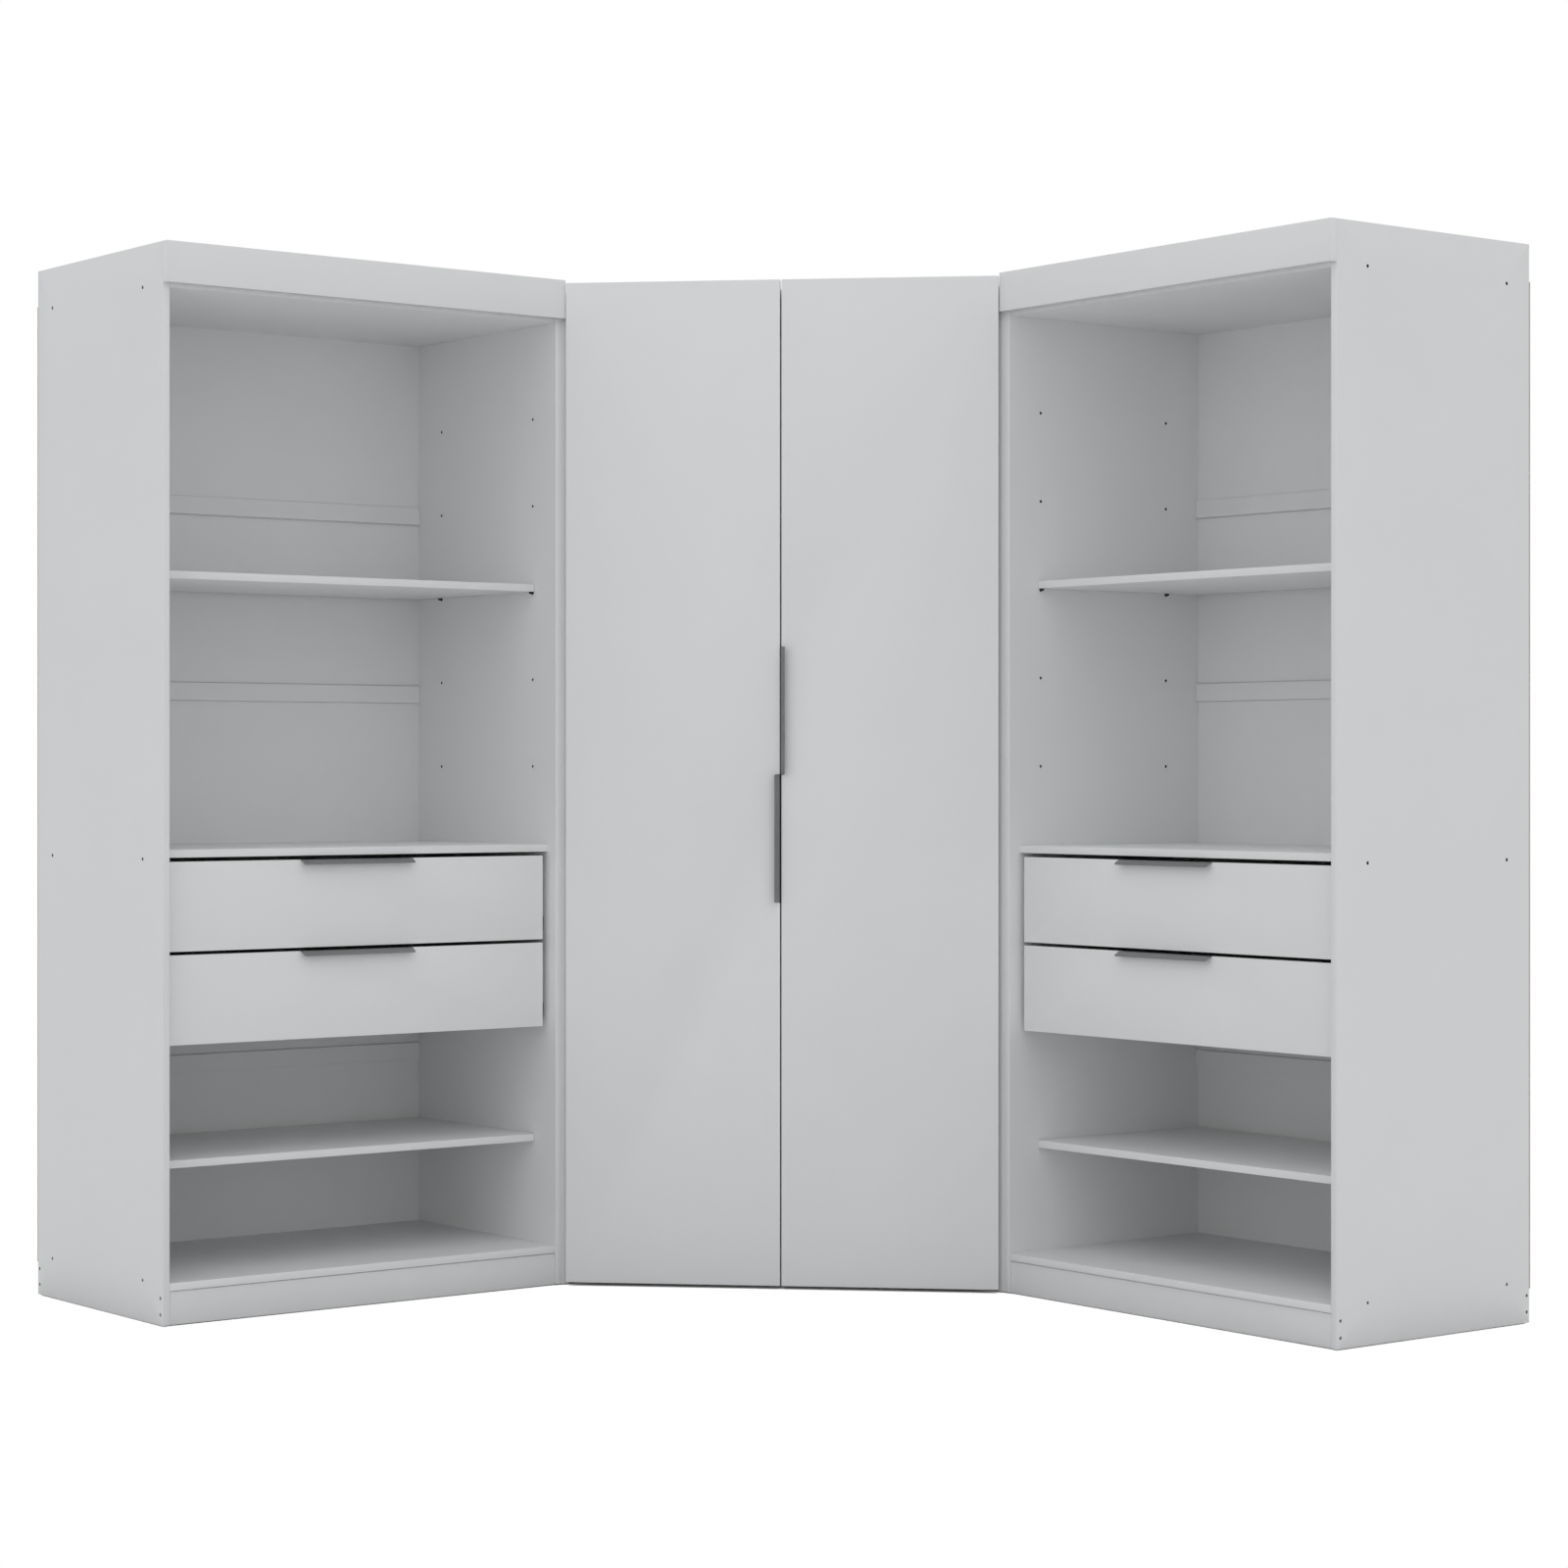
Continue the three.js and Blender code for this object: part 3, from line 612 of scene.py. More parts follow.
def pull_section(play, cut=0.0):
    """(out, inward) of an edge pull, counted from the board's face and from its edge. cut shortens the lip."""
    q, behind, start, reach, drop = 2.0, -15.0 - play, 3.0, 16.5, 8.2
    run = reach - start
    length = math.hypot(run, drop)
    off = (-q * drop / length, q * run / length)
    corner = start + off[0] + (q - off[1]) * run / drop
    short = (run / length * cut, drop / length * cut)
    points = [(behind - q, 20.0), (behind, 20.0), (behind, q), (corner, q),
              (reach + off[0] - short[0], drop + off[1] - short[1]), (reach - short[0], drop - short[1]), (start, 0.0), (behind - q, 0.0)]
    radii = [0.7, 0.7, 0.5, 0.6, 0.8, 0.8, 2.2, 2.0]
    if sum(a[0] * b[1] - b[0] * a[1] for a, b in zip(points, points[1:] + points[:1])) < 0:
        points, radii = points[::-1], radii[::-1]
    return rounded(points, radii, 4)


def pull_body(length, play, place, mat="pull_metal"):
    """An edge pull from 0 to length. Its lip and its flange have rounded ends. place puts (out, inward, along)."""
    r = 3.2
    stops = [0.0, 0.15, 0.5, 1.1, 2.0, 3.2]
    rings = []
    for s in stops + [length - s for s in reversed(stops)]:
        near = min(s, length - s)
        cut = r - math.sqrt(max(0.0, r * r - (r - near) ** 2)) if near < r else 0.0
        rings.append([place(o, i, s) for o, i in pull_section(play, cut)])
    made = sweep(rings, mat)
    return made


# ---- one wing; the right one is reflected, with its pulls at their own places
def wing(side):
    put = (lambda s: s) if side == "left" else (lambda s: s.mapped(reflected))
    make = lambda name, shape, slot, *nodes, body="carcass": emit(f"{side}_{name}", put(shape), body, slot, *[f"{side}_{n}" for n in nodes])

    # side panels with shelf-pin holes and sunk screws
    # the outer face takes the darker copy of the laminate: painted shade
    make("outer_side_board", plate(rounded(rect(BACK, SIDE_FRONT, 0, HEIGHT)), OUTER, Y0, flat_y, mats=("laminate", "side_laminate"), edge=towards("u-", "v-"), bevel=0.9,
         high=[HOLE(x, z) for x in PIN_X for z in PIN_Z], low=[SUNK(x, z) for x, z in SCREW_AT]), "pale_laminate", "outer_side")
    # its front edge takes the lighter band: painted light against the shade of the doors
    make("inner_side_board", plate(rounded(rect(BACK, SIDE_FRONT, 0, HEIGHT)), Y1, INNER, flat_y, edge=lambda nu, nv: "bright_band" if nu > 0.8 else towards("u-", "v-")(nu, nv), bevel=0.2, steps=1,
         low=[HOLE(x, z) for x in PIN_X for z in PIN_Z]), "pale_laminate", "inner_side")
    screws = Shape()
    for x, z in SCREW_AT:
        screws.join(screw_head(along_y(x, OUTER, z, -1.0), 3.35, -0.7, -2.95, kind="hex", size=1.75, depth=1.7, mat="dark_zinc" if z > 100 else "zinc"))
    make("side_screws", screws, "runner_steel")

    # boards across
    # the top board's edges, its front one in the fascia's shade, take the darker band: painted shade
    make("top_board", plate(rounded(rect(BACK, SIDE_FRONT, Y0, Y1)), TOP_UNDERSIDE, TOP_UNDERSIDE + BOARD, flat_z, bevel=0.7,
                            edge=lambda nu, nv: "chipboard" if nu < -0.8 else "underside_band"), "pale_laminate", "top_panel")
    # the fascia's underside takes the darker band: painted shade
    make("fascia_board", plate(rounded(rect(OUTER, INNER, FASCIA_BOTTOM, HEIGHT)), SIDE_FRONT, SIDE_FRONT + BOARD, flat_x, bevel=0.9,
                               edge=lambda nu, nv: "underside_band" if nv < -0.8 else "band"), "pale_laminate", "fascia")
    # the bottom board's faces take the darker laminate: painted shade
    bottom = plate(rounded(rect(BACK, SIDE_FRONT, Y0, Y1)), PLINTH_HEIGHT, PLINTH_HEIGHT + BOARD, flat_z, mats=("plinth_laminate", "plinth_laminate"), edge=towards("u-"), bevel=0.7)
    bottom.join(plate(rounded(rect(Y0, Y1, 0, PLINTH_HEIGHT)), BACK, BACK + BOARD, flat_x, edge=towards("v-"), bevel=0.6))
    make("bottom_board", bottom, "pale_laminate", "bottom_panel")
    # the plinth's front face takes the darker laminate: painted shade near the floor
    make("plinth_board", plate(rounded(rect(Y0 + 0.8, Y1 - 0.8, 0, PLINTH_HEIGHT - 1.4)), PLINTH_FRONT - BOARD, PLINTH_FRONT, flat_x, mats=("plinth_laminate", "laminate"), edge=towards("v-"), bevel=0.5), "pale_laminate", "plinth")
    make("fixed_shelf_board", plate(rounded(rect(BACK, SHELF_FRONT, Y0, Y1)), FIXED_SHELF_Z, FIXED_SHELF_Z + BOARD, flat_z, edge=towards("u-"), bevel=0.8), "pale_laminate", "fixed_shelf")
    for name, z in (("upper", UPPER_SHELF_Z), ("lower", LOWER_SHELF_Z)):
        make(f"{name}_shelf_board", plate(rounded(rect(LOOSE_BACK, LOOSE_FRONT, Y0 + 1, Y1 - 1)), z, z + BOARD, flat_z, edge=towards("u-"), bevel=0.8), "pale_laminate", f"{name}_shelf")

    # shelf pins under both adjustable shelves
    pins = Shape()
    collared = [(0, -8.5), (2.0, -8.5), (2.45, -8.0), (2.45, 0.0), (3.9, 0.0), (4.1, 0.15), (4.1, 0.6), (3.9, 0.8), (2.5, 0.8), (2.5, 7.2), (2.2, 7.7), (1.6, 7.9), (0, 7.9)]
    hidden = [(0, -8.5), (2.0, -8.5), (2.9, -8.0), (2.9, 0.6), (2.6, 0.95), (0, 0.95)]
    for z, profile in ((296.5, hidden), (1425.5, collared)):
        for x in PIN_X:
            for y, way in ((Y0, 1.0), (Y1, -1.0)):
                pins.join(lathe(profile, along_y(x, y, z, way), 20, "gunmetal"))
    make("shelf_pins", pins, "runner_steel")

    # back: four sheets of fibreboard, joined behind three raised bands
    back = Shape()
    cuts = [PLINTH_HEIGHT] + [z + BAND_HEIGHT / 2 for z in BAND_Z] + [TOP_UNDERSIDE + BOARD]
    for low, high in zip(cuts, cuts[1:]):
        # in section, with a fine groove along the band above and the band below
        bottom, top = low + (0 if low == cuts[0] else 0.2), high - (0 if high == cuts[-1] else 0.2)
        section = [(0.35, bottom), (BACK, bottom)]
        if low != cuts[0]:
            start = low + BAND_HEIGHT / 2
            section += [(BACK, start - 0.8), (1.4, start - 0.8), (1.4, start + 0.7), (BACK, start + 0.7)]
        if high != cuts[-1]:
            start = high - BAND_HEIGHT / 2
            section += [(BACK, start - 0.45), (1.4, start - 0.45), (1.4, start + 0.8), (BACK, start + 0.8)]
        section += [(BACK, top), (0.35, top)]
        back.join(plate(section, OUTER + 0.4, INNER - 0.4, flat_y, mats=("back_rear", "back_rear"),
                        edge=lambda nu, nv: "back_front" if nu > 0.5 or abs(nv) > 0.5 else "back_rear", bevel=0.1, steps=1))
    for z in BAND_Z:
        back.join(plate(rounded(rect(Y0 + 0.5, Y1 - 0.5, z, z + BAND_HEIGHT), 1.6, 2), BACK, BAND_FRONT, flat_x, mats=("back_front", "back_front"), edge="back_front", bevel=0.4, steps=1))
    make("back_sheets", back, "back_board", "back_panel")
    tacks = Shape()
    def tack(y, z):
        tacks.join(lathe([(0, -0.6), (1.7, -0.6), (1.9, -0.45), (1.9, -0.25), (1.5, -0.08), (0.7, 0.0), (0, 0.0)], along_x(0.0, y, z, -1.0), 14, "zinc"))
    z = PLINTH_HEIGHT + 8
    while z < TOP_UNDERSIDE + BOARD:
        for y in (OUTER + 7.5, INNER - 7.5):
            tack(y, z)
        z += (TOP_UNDERSIDE + BOARD - PLINTH_HEIGHT - 16) / 14
    for k in range(1, 7):
        for z in (PLINTH_HEIGHT + 8, FIXED_SHELF_Z + 7.5, TOP_UNDERSIDE + 7.5):
            tack(OUTER + (INNER - OUTER) * k / 7, z)
    make("back_tacks", tacks, "runner_steel")

    # drawers
    for level in ("upper", "lower"):
        z0 = DRAWER_Z[level]
        z1 = z0 + 172.5
        body = f"{side}_{level}_drawer"
        pull = OUTER + PULL_CENTRE[side]
        p0, p1 = pull - 127.0, pull + 127.0
        notch = [(D0, z0), (D1, z0), (D1, z1), (p1 + 0.3, z1), (p1 + 0.3, z1 - 2.3), (p0 - 0.3, z1 - 2.3), (p0 - 0.3, z1), (D0, z1)]
        radii = [1.0, 1.0, 1.0, 0.0, 0.0, 0.0, 0.0, 1.0]
        make(f"{level}_drawer_face", plate(rounded(notch, radii, 2), REAR, FACE, flat_x, bevel=0.8), "pale_laminate", f"{level}_drawer_front", body=body)

        b0 = z0 + 12.0
        b1 = b0 + 140.0
        sides = Shape()
        cams = Shape()
        for low, way in ((D0, 1.0), (D1 - 12.0, -1.0)):
            sides.join(plate(rounded(rect(40, REAR, b0, b1)), low, low + 12.0, flat_y, mats=("drawer_laminate", "drawer_laminate"), edge="band", bevel=0.7))
            inner_face = low + 12.0 if way > 0 else low
            for z in (b0 + 30, b1 - 30):
                cams.join(lathe([(0, 0.35), (5.2, 0.35), (5.9, 0.2), (6.0, -0.4), (0, -0.4)][::-1], along_y(REAR - 24, inner_face, z, way), 24, "zinc"))
                # a near-black dot in the cam's middle: painted shade of its driver slot
                cams.join(lathe([(0, 0.36), (1.1, 0.36), (1.1, 0.42), (0, 0.42)], along_y(REAR - 24, inner_face, z, way), 6, "recess", smooth=False))
        sides.join(plate(rounded(rect(D0 + 12.05, D1 - 12.05, b0, b1)), 40.0, 52.0, flat_x, mats=("drawer_laminate", "drawer_laminate"), edge="band", bevel=0.7))
        sides.join(plate(rounded(rect(52.05, REAR - 0.05, D0 + 12.05, D1 - 12.05), 0.4, 1), b0 + 8, b0 + 11, flat_z, mats=("back_front", "back_front"), edge="back_rear", bevel=0.3, steps=1))
        make(f"{level}_drawer_tray", sides, "drawer_board", f"{level}_drawer_box", body=body)
        make(f"{level}_drawer_cams", cams, "runner_steel", body=body)

        # edge pull, let into the front's top edge, with its three screws behind
        make(f"{level}_drawer_handle", pull_body(254.0, 0.0, lambda o, i, s: (FACE + o, p0 + s, z1 - i)), "pull_metal", f"{level}_drawer_pull", body=body)
        fixings = Shape()
        for y in (p0 + 22, pull, p1 - 22):
            fixings.join(screw_head(along_x(REAR - 2.0, y, z1 - 12.5, -1.0), 3.1, 1.7, 0.0, dome=0.5, depth=1.1))
        make(f"{level}_drawer_handle_screws", fixings, "runner_steel", body=body)

        # runners: a channel with a roller on each side panel, and an angle with a roller on each side of the drawer
        r0 = b0 + 5.0
        section = [(0, 0), (10.5, 0), (10.5, 3.2), (9.4, 3.2), (9.4, 1.2), (1.2, 1.2), (1.2, 28.8), (9.4, 28.8), (9.4, 26.8), (10.5, 26.8), (10.5, 30), (0, 30)]
        radii = [1.4, 1.4, 0.4, 0.4, 0.6, 0.6, 0.6, 0.6, 0.4, 0.4, 1.4, 1.4]
        for end, wall, way in (("outer", Y0, 1.0), ("inner", Y1, -1.0)):
            channel = plate(rounded(section, radii, 3), 40.0, REAR, lambda u, v, w: (w, wall + way * u, r0 + v), mats=("zinc", "zinc"), edge="zinc", bevel=0.15, steps=1, smooth_edge=True)
            for x in (70.0, 250.0, 440.0):
                channel.join(screw_head(along_y(x, wall, r0 + 15, way), 3.6, 2.9, 1.2, dome=0.6, depth=1.2))
            wheel = [(1.5, 1.6), (5.6, 1.6), (6.3, 2.2), (6.4, 3.0), (6.0, 4.6), (6.4, 6.2), (6.3, 7.0), (5.6, 7.6), (3.2, 7.6), (3.0, 6.9), (1.5, 6.9)]
            front = lathe([(r, h) for r, h in wheel], along_y(477.0, wall, r0 + 8.2, way), 28, "white_nylon", closed=True)
            front.join(lathe([(0, 1.2), (1.45, 1.2), (1.45, 7.3), (2.4, 7.3), (2.4, 8.0), (2.0, 8.4), (0, 8.4)], along_y(477.0, wall, r0 + 8.2, way), 16, "zinc"))
            make(f"{level}_channel_{end}", channel, "runner_steel", f"{level}_runner_{end}")
            make(f"{level}_roller_{end}", front, "runner_steel")
            angle = [(12.95, 1.5), (12.95, 16.1), (3.0, 16.1), (3.0, 15.0), (11.8, 15.0), (11.8, 1.5)]
            rail = plate(rounded(angle, 0.5, 2, inner=0.5), 44.0, REAR - 4, lambda u, v, w: (w, wall + way * u, r0 + v), mats=("zinc", "zinc"), edge="zinc", bevel=0.15, steps=1, smooth_edge=True)
            rail.join(lathe([(r, h) for r, h in wheel], along_y(54.0, wall, r0 + 7.8, way), 28, "white_nylon", closed=True))
            rail.join(lathe([(0, 1.1), (2.4, 1.1), (2.4, 1.55), (1.45, 1.55), (1.45, 11.75), (0, 11.75)], along_y(54.0, wall, r0 + 7.8, way), 16, "zinc"))
            for x in (90.0, 270.0, 455.0):
                rail.join(screw_head(along_y(x, wall + way * 11.8, r0 + 8.5, -way), 2.6, 0.9, 0.0, dome=0.3, depth=0.6))
            make(f"{level}_drawer_angle_{end}", rail, "runner_steel", body=body)


for SIDE in ("left", "right"):
    wing(SIDE)

# ---------------------------------------------------------------- corner cabinet
WALL_SIDE = CORNER - BOARD


def diagonal(set_back):
    return SIDE_FRONT + CORNER - R2 * set_back


def corner_board(name, plan, z0, z1, node, edge="band", bevel=0.8, low=()):
    return emit(name, plate(rounded(plan, 0.9), z0, z1, flat_z, edge=edge, bevel=bevel, low=low), "carcass", "pale_laminate", node)


for SIDE in ("left", "right"):
    put = (lambda s: s) if SIDE == "left" else (lambda s: s.mapped(reflected))
    slanted = [(BACK, -CORNER), (SIDE_FRONT, -CORNER), (SIDE_FRONT + 5.0, -WALL_SIDE), (BACK, -WALL_SIDE)]
    panel = plate(rounded(slanted, 0.2, 1), 0.0, 2040.0, flat_z, mats=("band", "chipboard"), bevel=0.15, steps=1,
                  edge=lambda nu, nv: "chipboard" if nu < -0.8 else ("band" if nu > 0.3 else "laminate"))
    emit(f"corner_{SIDE}_side_board", put(panel), "carcass", "pale_laminate", f"corner_{SIDE}_side")

left_back = plate(rounded(rect(-CORNER + 0.4, -BACK - 0.4, PLINTH_HEIGHT, 2040.0), 0.4, 1), 0.35, BACK, flat_x, mats=("back_front", "back_rear"), edge="back_rear", bevel=0.3, steps=1)
emit("corner_left_back_sheet", left_back, "carcass", "back_board", "corner_left_back")
right_back = plate(rounded(rect(0.4, CORNER - 0.4, PLINTH_HEIGHT, 2040.0), 0.4, 1), -BACK, -0.35, flat_y, mats=("back_rear", "back_front"), edge="back_rear", bevel=0.3, steps=1)
emit("corner_right_back_sheet", right_back, "carcass", "back_board", "corner_right_back")
tacks = Shape()
for k in range(15):
    z = PLINTH_HEIGHT + 8 + k * (2040.0 - PLINTH_HEIGHT - 16) / 14
    for at in (-CORNER + 7.5, -10.0):
        tacks.join(lathe([(0, -0.6), (1.7, -0.6), (1.9, -0.45), (1.9, -0.25), (1.5, -0.08), (0.7, 0.0), (0, 0.0)], along_x(0.0, at, z, -1.0), 14, "zinc"))
    for at in (CORNER - 7.5, 10.0):
        tacks.join(lathe([(0, -0.6), (1.7, -0.6), (1.9, -0.45), (1.9, -0.25), (1.5, -0.08), (0.7, 0.0), (0, 0.0)], along_y(at, 0.0, z, 1.0), 14, "zinc"))
emit("corner_back_tacks", tacks, "carcass", "runner_steel")

board_front = diagonal(2.0) - WALL_SIDE
five = [(BACK, -WALL_SIDE), (board_front, -WALL_SIDE), (WALL_SIDE, -board_front), (WALL_SIDE, -BACK), (BACK, -BACK)]
bottom = plate(rounded(five, 0.9), PLINTH_HEIGHT, PLINTH_HEIGHT + BOARD, flat_z)
bottom.join(plate(rounded(rect(-WALL_SIDE, -BACK, 0, PLINTH_HEIGHT)), BACK, BACK + BOARD, flat_x, edge=towards("v-"), bevel=0.6))
bottom.join(plate(rounded(rect(BACK + BOARD, WALL_SIDE, 0, PLINTH_HEIGHT)), -BACK - BOARD, -BACK, flat_y, edge=towards("v-"), bevel=0.6))
emit("corner_bottom_board", bottom, "carcass", "pale_laminate", "corner_bottom_panel")
corner_board("corner_top_board", five, 2040.0 - BOARD, 2040.0, "corner_top_panel")
inset_side = WALL_SIDE - 0.5
front, rear = diagonal(40.0) - inset_side, diagonal(55.0) - inset_side
corner_board("corner_plinth_board", [(rear, -inset_side), (front, -inset_side), (inset_side, -front), (inset_side, -rear)], 0.0, PLINTH_HEIGHT, "corner_plinth")
front, rear = diagonal(60.0) - inset_side, BACK + 0.5
corner_board("corner_hat_shelf_board", [(rear, -inset_side), (front, -inset_side), (inset_side, -front), (inset_side, -rear), (rear, -rear)], 1700.0, 1715.0, "corner_hat_shelf")

# brackets under the hat shelf
brackets = Shape()
for SIDE in ("left", "right"):
    for x in (60.0, 420.0):
        angle = rounded([(0, 0), (0, -22), (1.6, -22), (1.6, -1.6), (22, -1.6), (22, 0)], [0.5, 0.5, 0.5, 0.8, 0.5, 0.5], 2)
        one = plate(angle, x - 9, x + 9, lambda u, v, w: (w, -WALL_SIDE + u + 0.05, 1700.0 + v), mats=("zinc", "zinc"), edge="zinc", bevel=0.3, steps=1)
        one.join(screw_head(along_y(x, -WALL_SIDE + 1.65, 1688.0, 1.0), 3.4, 1.7, 0.0, dome=0.5, depth=1.1))
        one.join(screw_head(along_z(x, -WALL_SIDE + 12.5, 1698.4, -1.0), 3.4, 1.7, 0.0, dome=0.5, depth=1.1))
        brackets.join(one if SIDE == "left" else one.mapped(reflected))
emit("hat_shelf_brackets", brackets, "carcass", "runner_steel")

# hanging rail: a tube with one wide bend, held by a cup flange on each side panel
RAIL_WALL, RAIL_Z, RAIL_R, BEND = 290.0, 1640.0, 12.5, 150.0
end = WALL_SIDE - 0.3
path = [(RAIL_WALL, -end + 1.0)]
path += [(RAIL_WALL, -end + 1.0 + (end - 1.0 - RAIL_WALL - BEND) * k / 6) for k in range(1, 6)]
for k in range(33):
    a = math.pi - k / 32 * math.pi / 2
    path.append((RAIL_WALL + BEND + BEND * math.cos(a), -(RAIL_WALL + BEND) + BEND * math.sin(a)))
path += [(-y, -x) for x, y in reversed(path[:6])]
rings = []
for i, (x, y) in enumerate(path):
    a, b = path[max(i - 1, 0)], path[min(i + 1, len(path) - 1)]
    size = math.dist(a, b)
    nx, ny = -(b[1] - a[1]) / size, (b[0] - a[0]) / size
    rings.append([(x + nx * RAIL_R * math.cos(t), y + ny * RAIL_R * math.cos(t), RAIL_Z + RAIL_R * math.sin(t)) for t in (2 * math.pi * k / 32 for k in range(32))])
rail = sweep(rings, "chrome")
flange = lathe([(12.9, 0.0), (23.2, 0.0), (24.0, 0.6), (24.0, 2.4), (23.0, 3.4), (17.5, 4.0), (16.6, 4.6), (16.0, 11.0), (15.4, 11.6), (13.2, 11.6), (12.9, 11.2)],
               along_y(RAIL_WALL, -end, RAIL_Z, 1.0), 40, "chrome", closed=True)
for k in range(3):
    a = math.pi / 2 + 2 * math.pi * k / 3
    flange.join(screw_head(along_y(RAIL_WALL + 20.2 * math.cos(a), -end, RAIL_Z + 20.2 * math.sin(a), 1.0), 2.5, 4.3, 2.0, dome=0.4, depth=0.9))
rail.join(flange, flange.mapped(reflected))
emit("hanging_rail_tube", rail, "carcass", "rail_chrome", "hanging_rail")

# its hanger under the hat shelf
bend = RAIL_WALL + BEND * (1 - math.sqrt(0.5))
def at_bend(a, b, h):
    """a along the rail at the middle of the bend, b across it, h up."""
    return (bend + (a + b) / R2, -bend + (a - b) / R2, h)
hanger = plate(rounded(rect(-25, 25, -8, 8), 5.0, 5), 1696.7, 1699.7, lambda u, v, w: at_bend(v, u, w), mats=("chrome", "chrome"), edge="chrome", bevel=0.6)
hanger.join(lathe([(0, 1655.0), (5.5, 1655.0), (5.5, 1690.0), (7.5, 1696.0), (7.5, 1697.5), (0, 1697.5)], lambda a, b, h: at_bend(a, b, h), 24, "chrome"))
hanger.join(lathe([(12.9, -7.6), (16.6, -7.6), (17.4, -6.8), (17.4, 6.8), (16.6, 7.6), (12.9, 7.6)], lambda a, b, h: at_bend(h, a, RAIL_Z + b), 36, "chrome", closed=True))
for u in (-18.0, 18.0):
    hanger.join(screw_head(lambda a, b, h, u=u: at_bend(a, b + u, 1696.7 - h), 3.2, 1.8, -0.2, dome=0.5, depth=1.1))
emit("rail_hanger_ring", hanger, "carcass", "rail_chrome", "rail_hanger")


# ---------------------------------------------------------------- doors
def on_door(t, z, off):
    """A point by its place along the diagonal from the middle, its height, and how far in front of the line
    between the wings' front corners it lies."""
    return (MID + (t + off) / R2, -MID + (t - off) / R2, z)


for SIDE in ("left", "right"):
    sign = 1.0 if SIDE == "left" else -1.0
    at = lambda t, z, off, sign=sign: on_door(sign * t, z, off)
    body = f"{SIDE}_door"
    pz = DOOR_PULL_Z[SIDE]
    p0, p1 = pz - 0.3, pz + 261.3
    edge_t = -1.2 if SIDE == "left" else -2.0
    outline = [(-444.5, 6.0), (edge_t, 6.0), (edge_t, p0), (-3.5, p0), (-3.5, p1), (edge_t, p1), (edge_t, 2058.5), (-444.5, 2058.5)]
    radii = [1.0, 1.0, 0.0, 0.0, 0.0, 0.0, 1.0, 1.0]
    cups = [(-422.0, z, 17.5, 12.0, "chipboard", "chipboard") for z in HINGE_Z]
    emit(f"{SIDE}_door_board", plate(rounded(outline, radii, 2), 1.0, 16.0, lambda u, v, w: at(u, v, w), bevel=0.7, low=cups), body, "pale_laminate", f"{SIDE}_door")
    emit(f"{SIDE}_door_handle", pull_body(261.0, 0.3, lambda o, i, s: at(-1.2 - i, pz + s, 16.0 + o)), body, "pull_metal", f"{SIDE}_door_pull")
    fixings = Shape()
    for z in (pz + 22, pz + 130.5, pz + 239):
        fixings.join(screw_head(lambda a, b, h, z=z: at(-13.7 + a, z + b, -1.3 - h), 3.1, 1.3, 0.0, dome=0.4, depth=0.9))
    emit(f"{SIDE}_door_handle_screws", fixings, body, "runner_steel")

    # hinge cups let into the door's back
    cup = Shape()
    for z in HINGE_Z:
        wings = [(-422.0 + a, z + b) for a, b in rounded([(-18.4, -17), (17, -27.5), (21.5, -25), (21.5, 25), (17, 27.5), (-18.4, 17)], 3.5, 4)]
        cup.join(plate(wings, -0.45, 0.95, lambda u, v, w: at(u, v, w), mats=("nickel", "nickel"), edge="nickel", bevel=0.35, through=[(-422.0, z, 15.4, "nickel")]))
        cup.join(lathe([(15.2, 0.9), (16.9, 0.9), (17.2, 1.6), (17.2, 11.2), (16.0, 12.6), (0, 12.6), (0, 11.6), (15.4, 11.6), (16.1, 10.8), (16.1, 1.9), (15.2, 1.6)],
                       lambda a, b, h, z=z: at(-422.0 + a, z + b, h), 36, "nickel", closed=False))
        for b in (-21.0, 21.0):
            cup.join(screw_head(lambda a, c, h, z=z, b=b: at(-412.5 + a, z + b + c, -0.45 - h), 3.6, 1.5, -0.1, dome=0.5, depth=1.1))
    emit(f"{SIDE}_hinge_cups", cup, body, "hinge_steel")

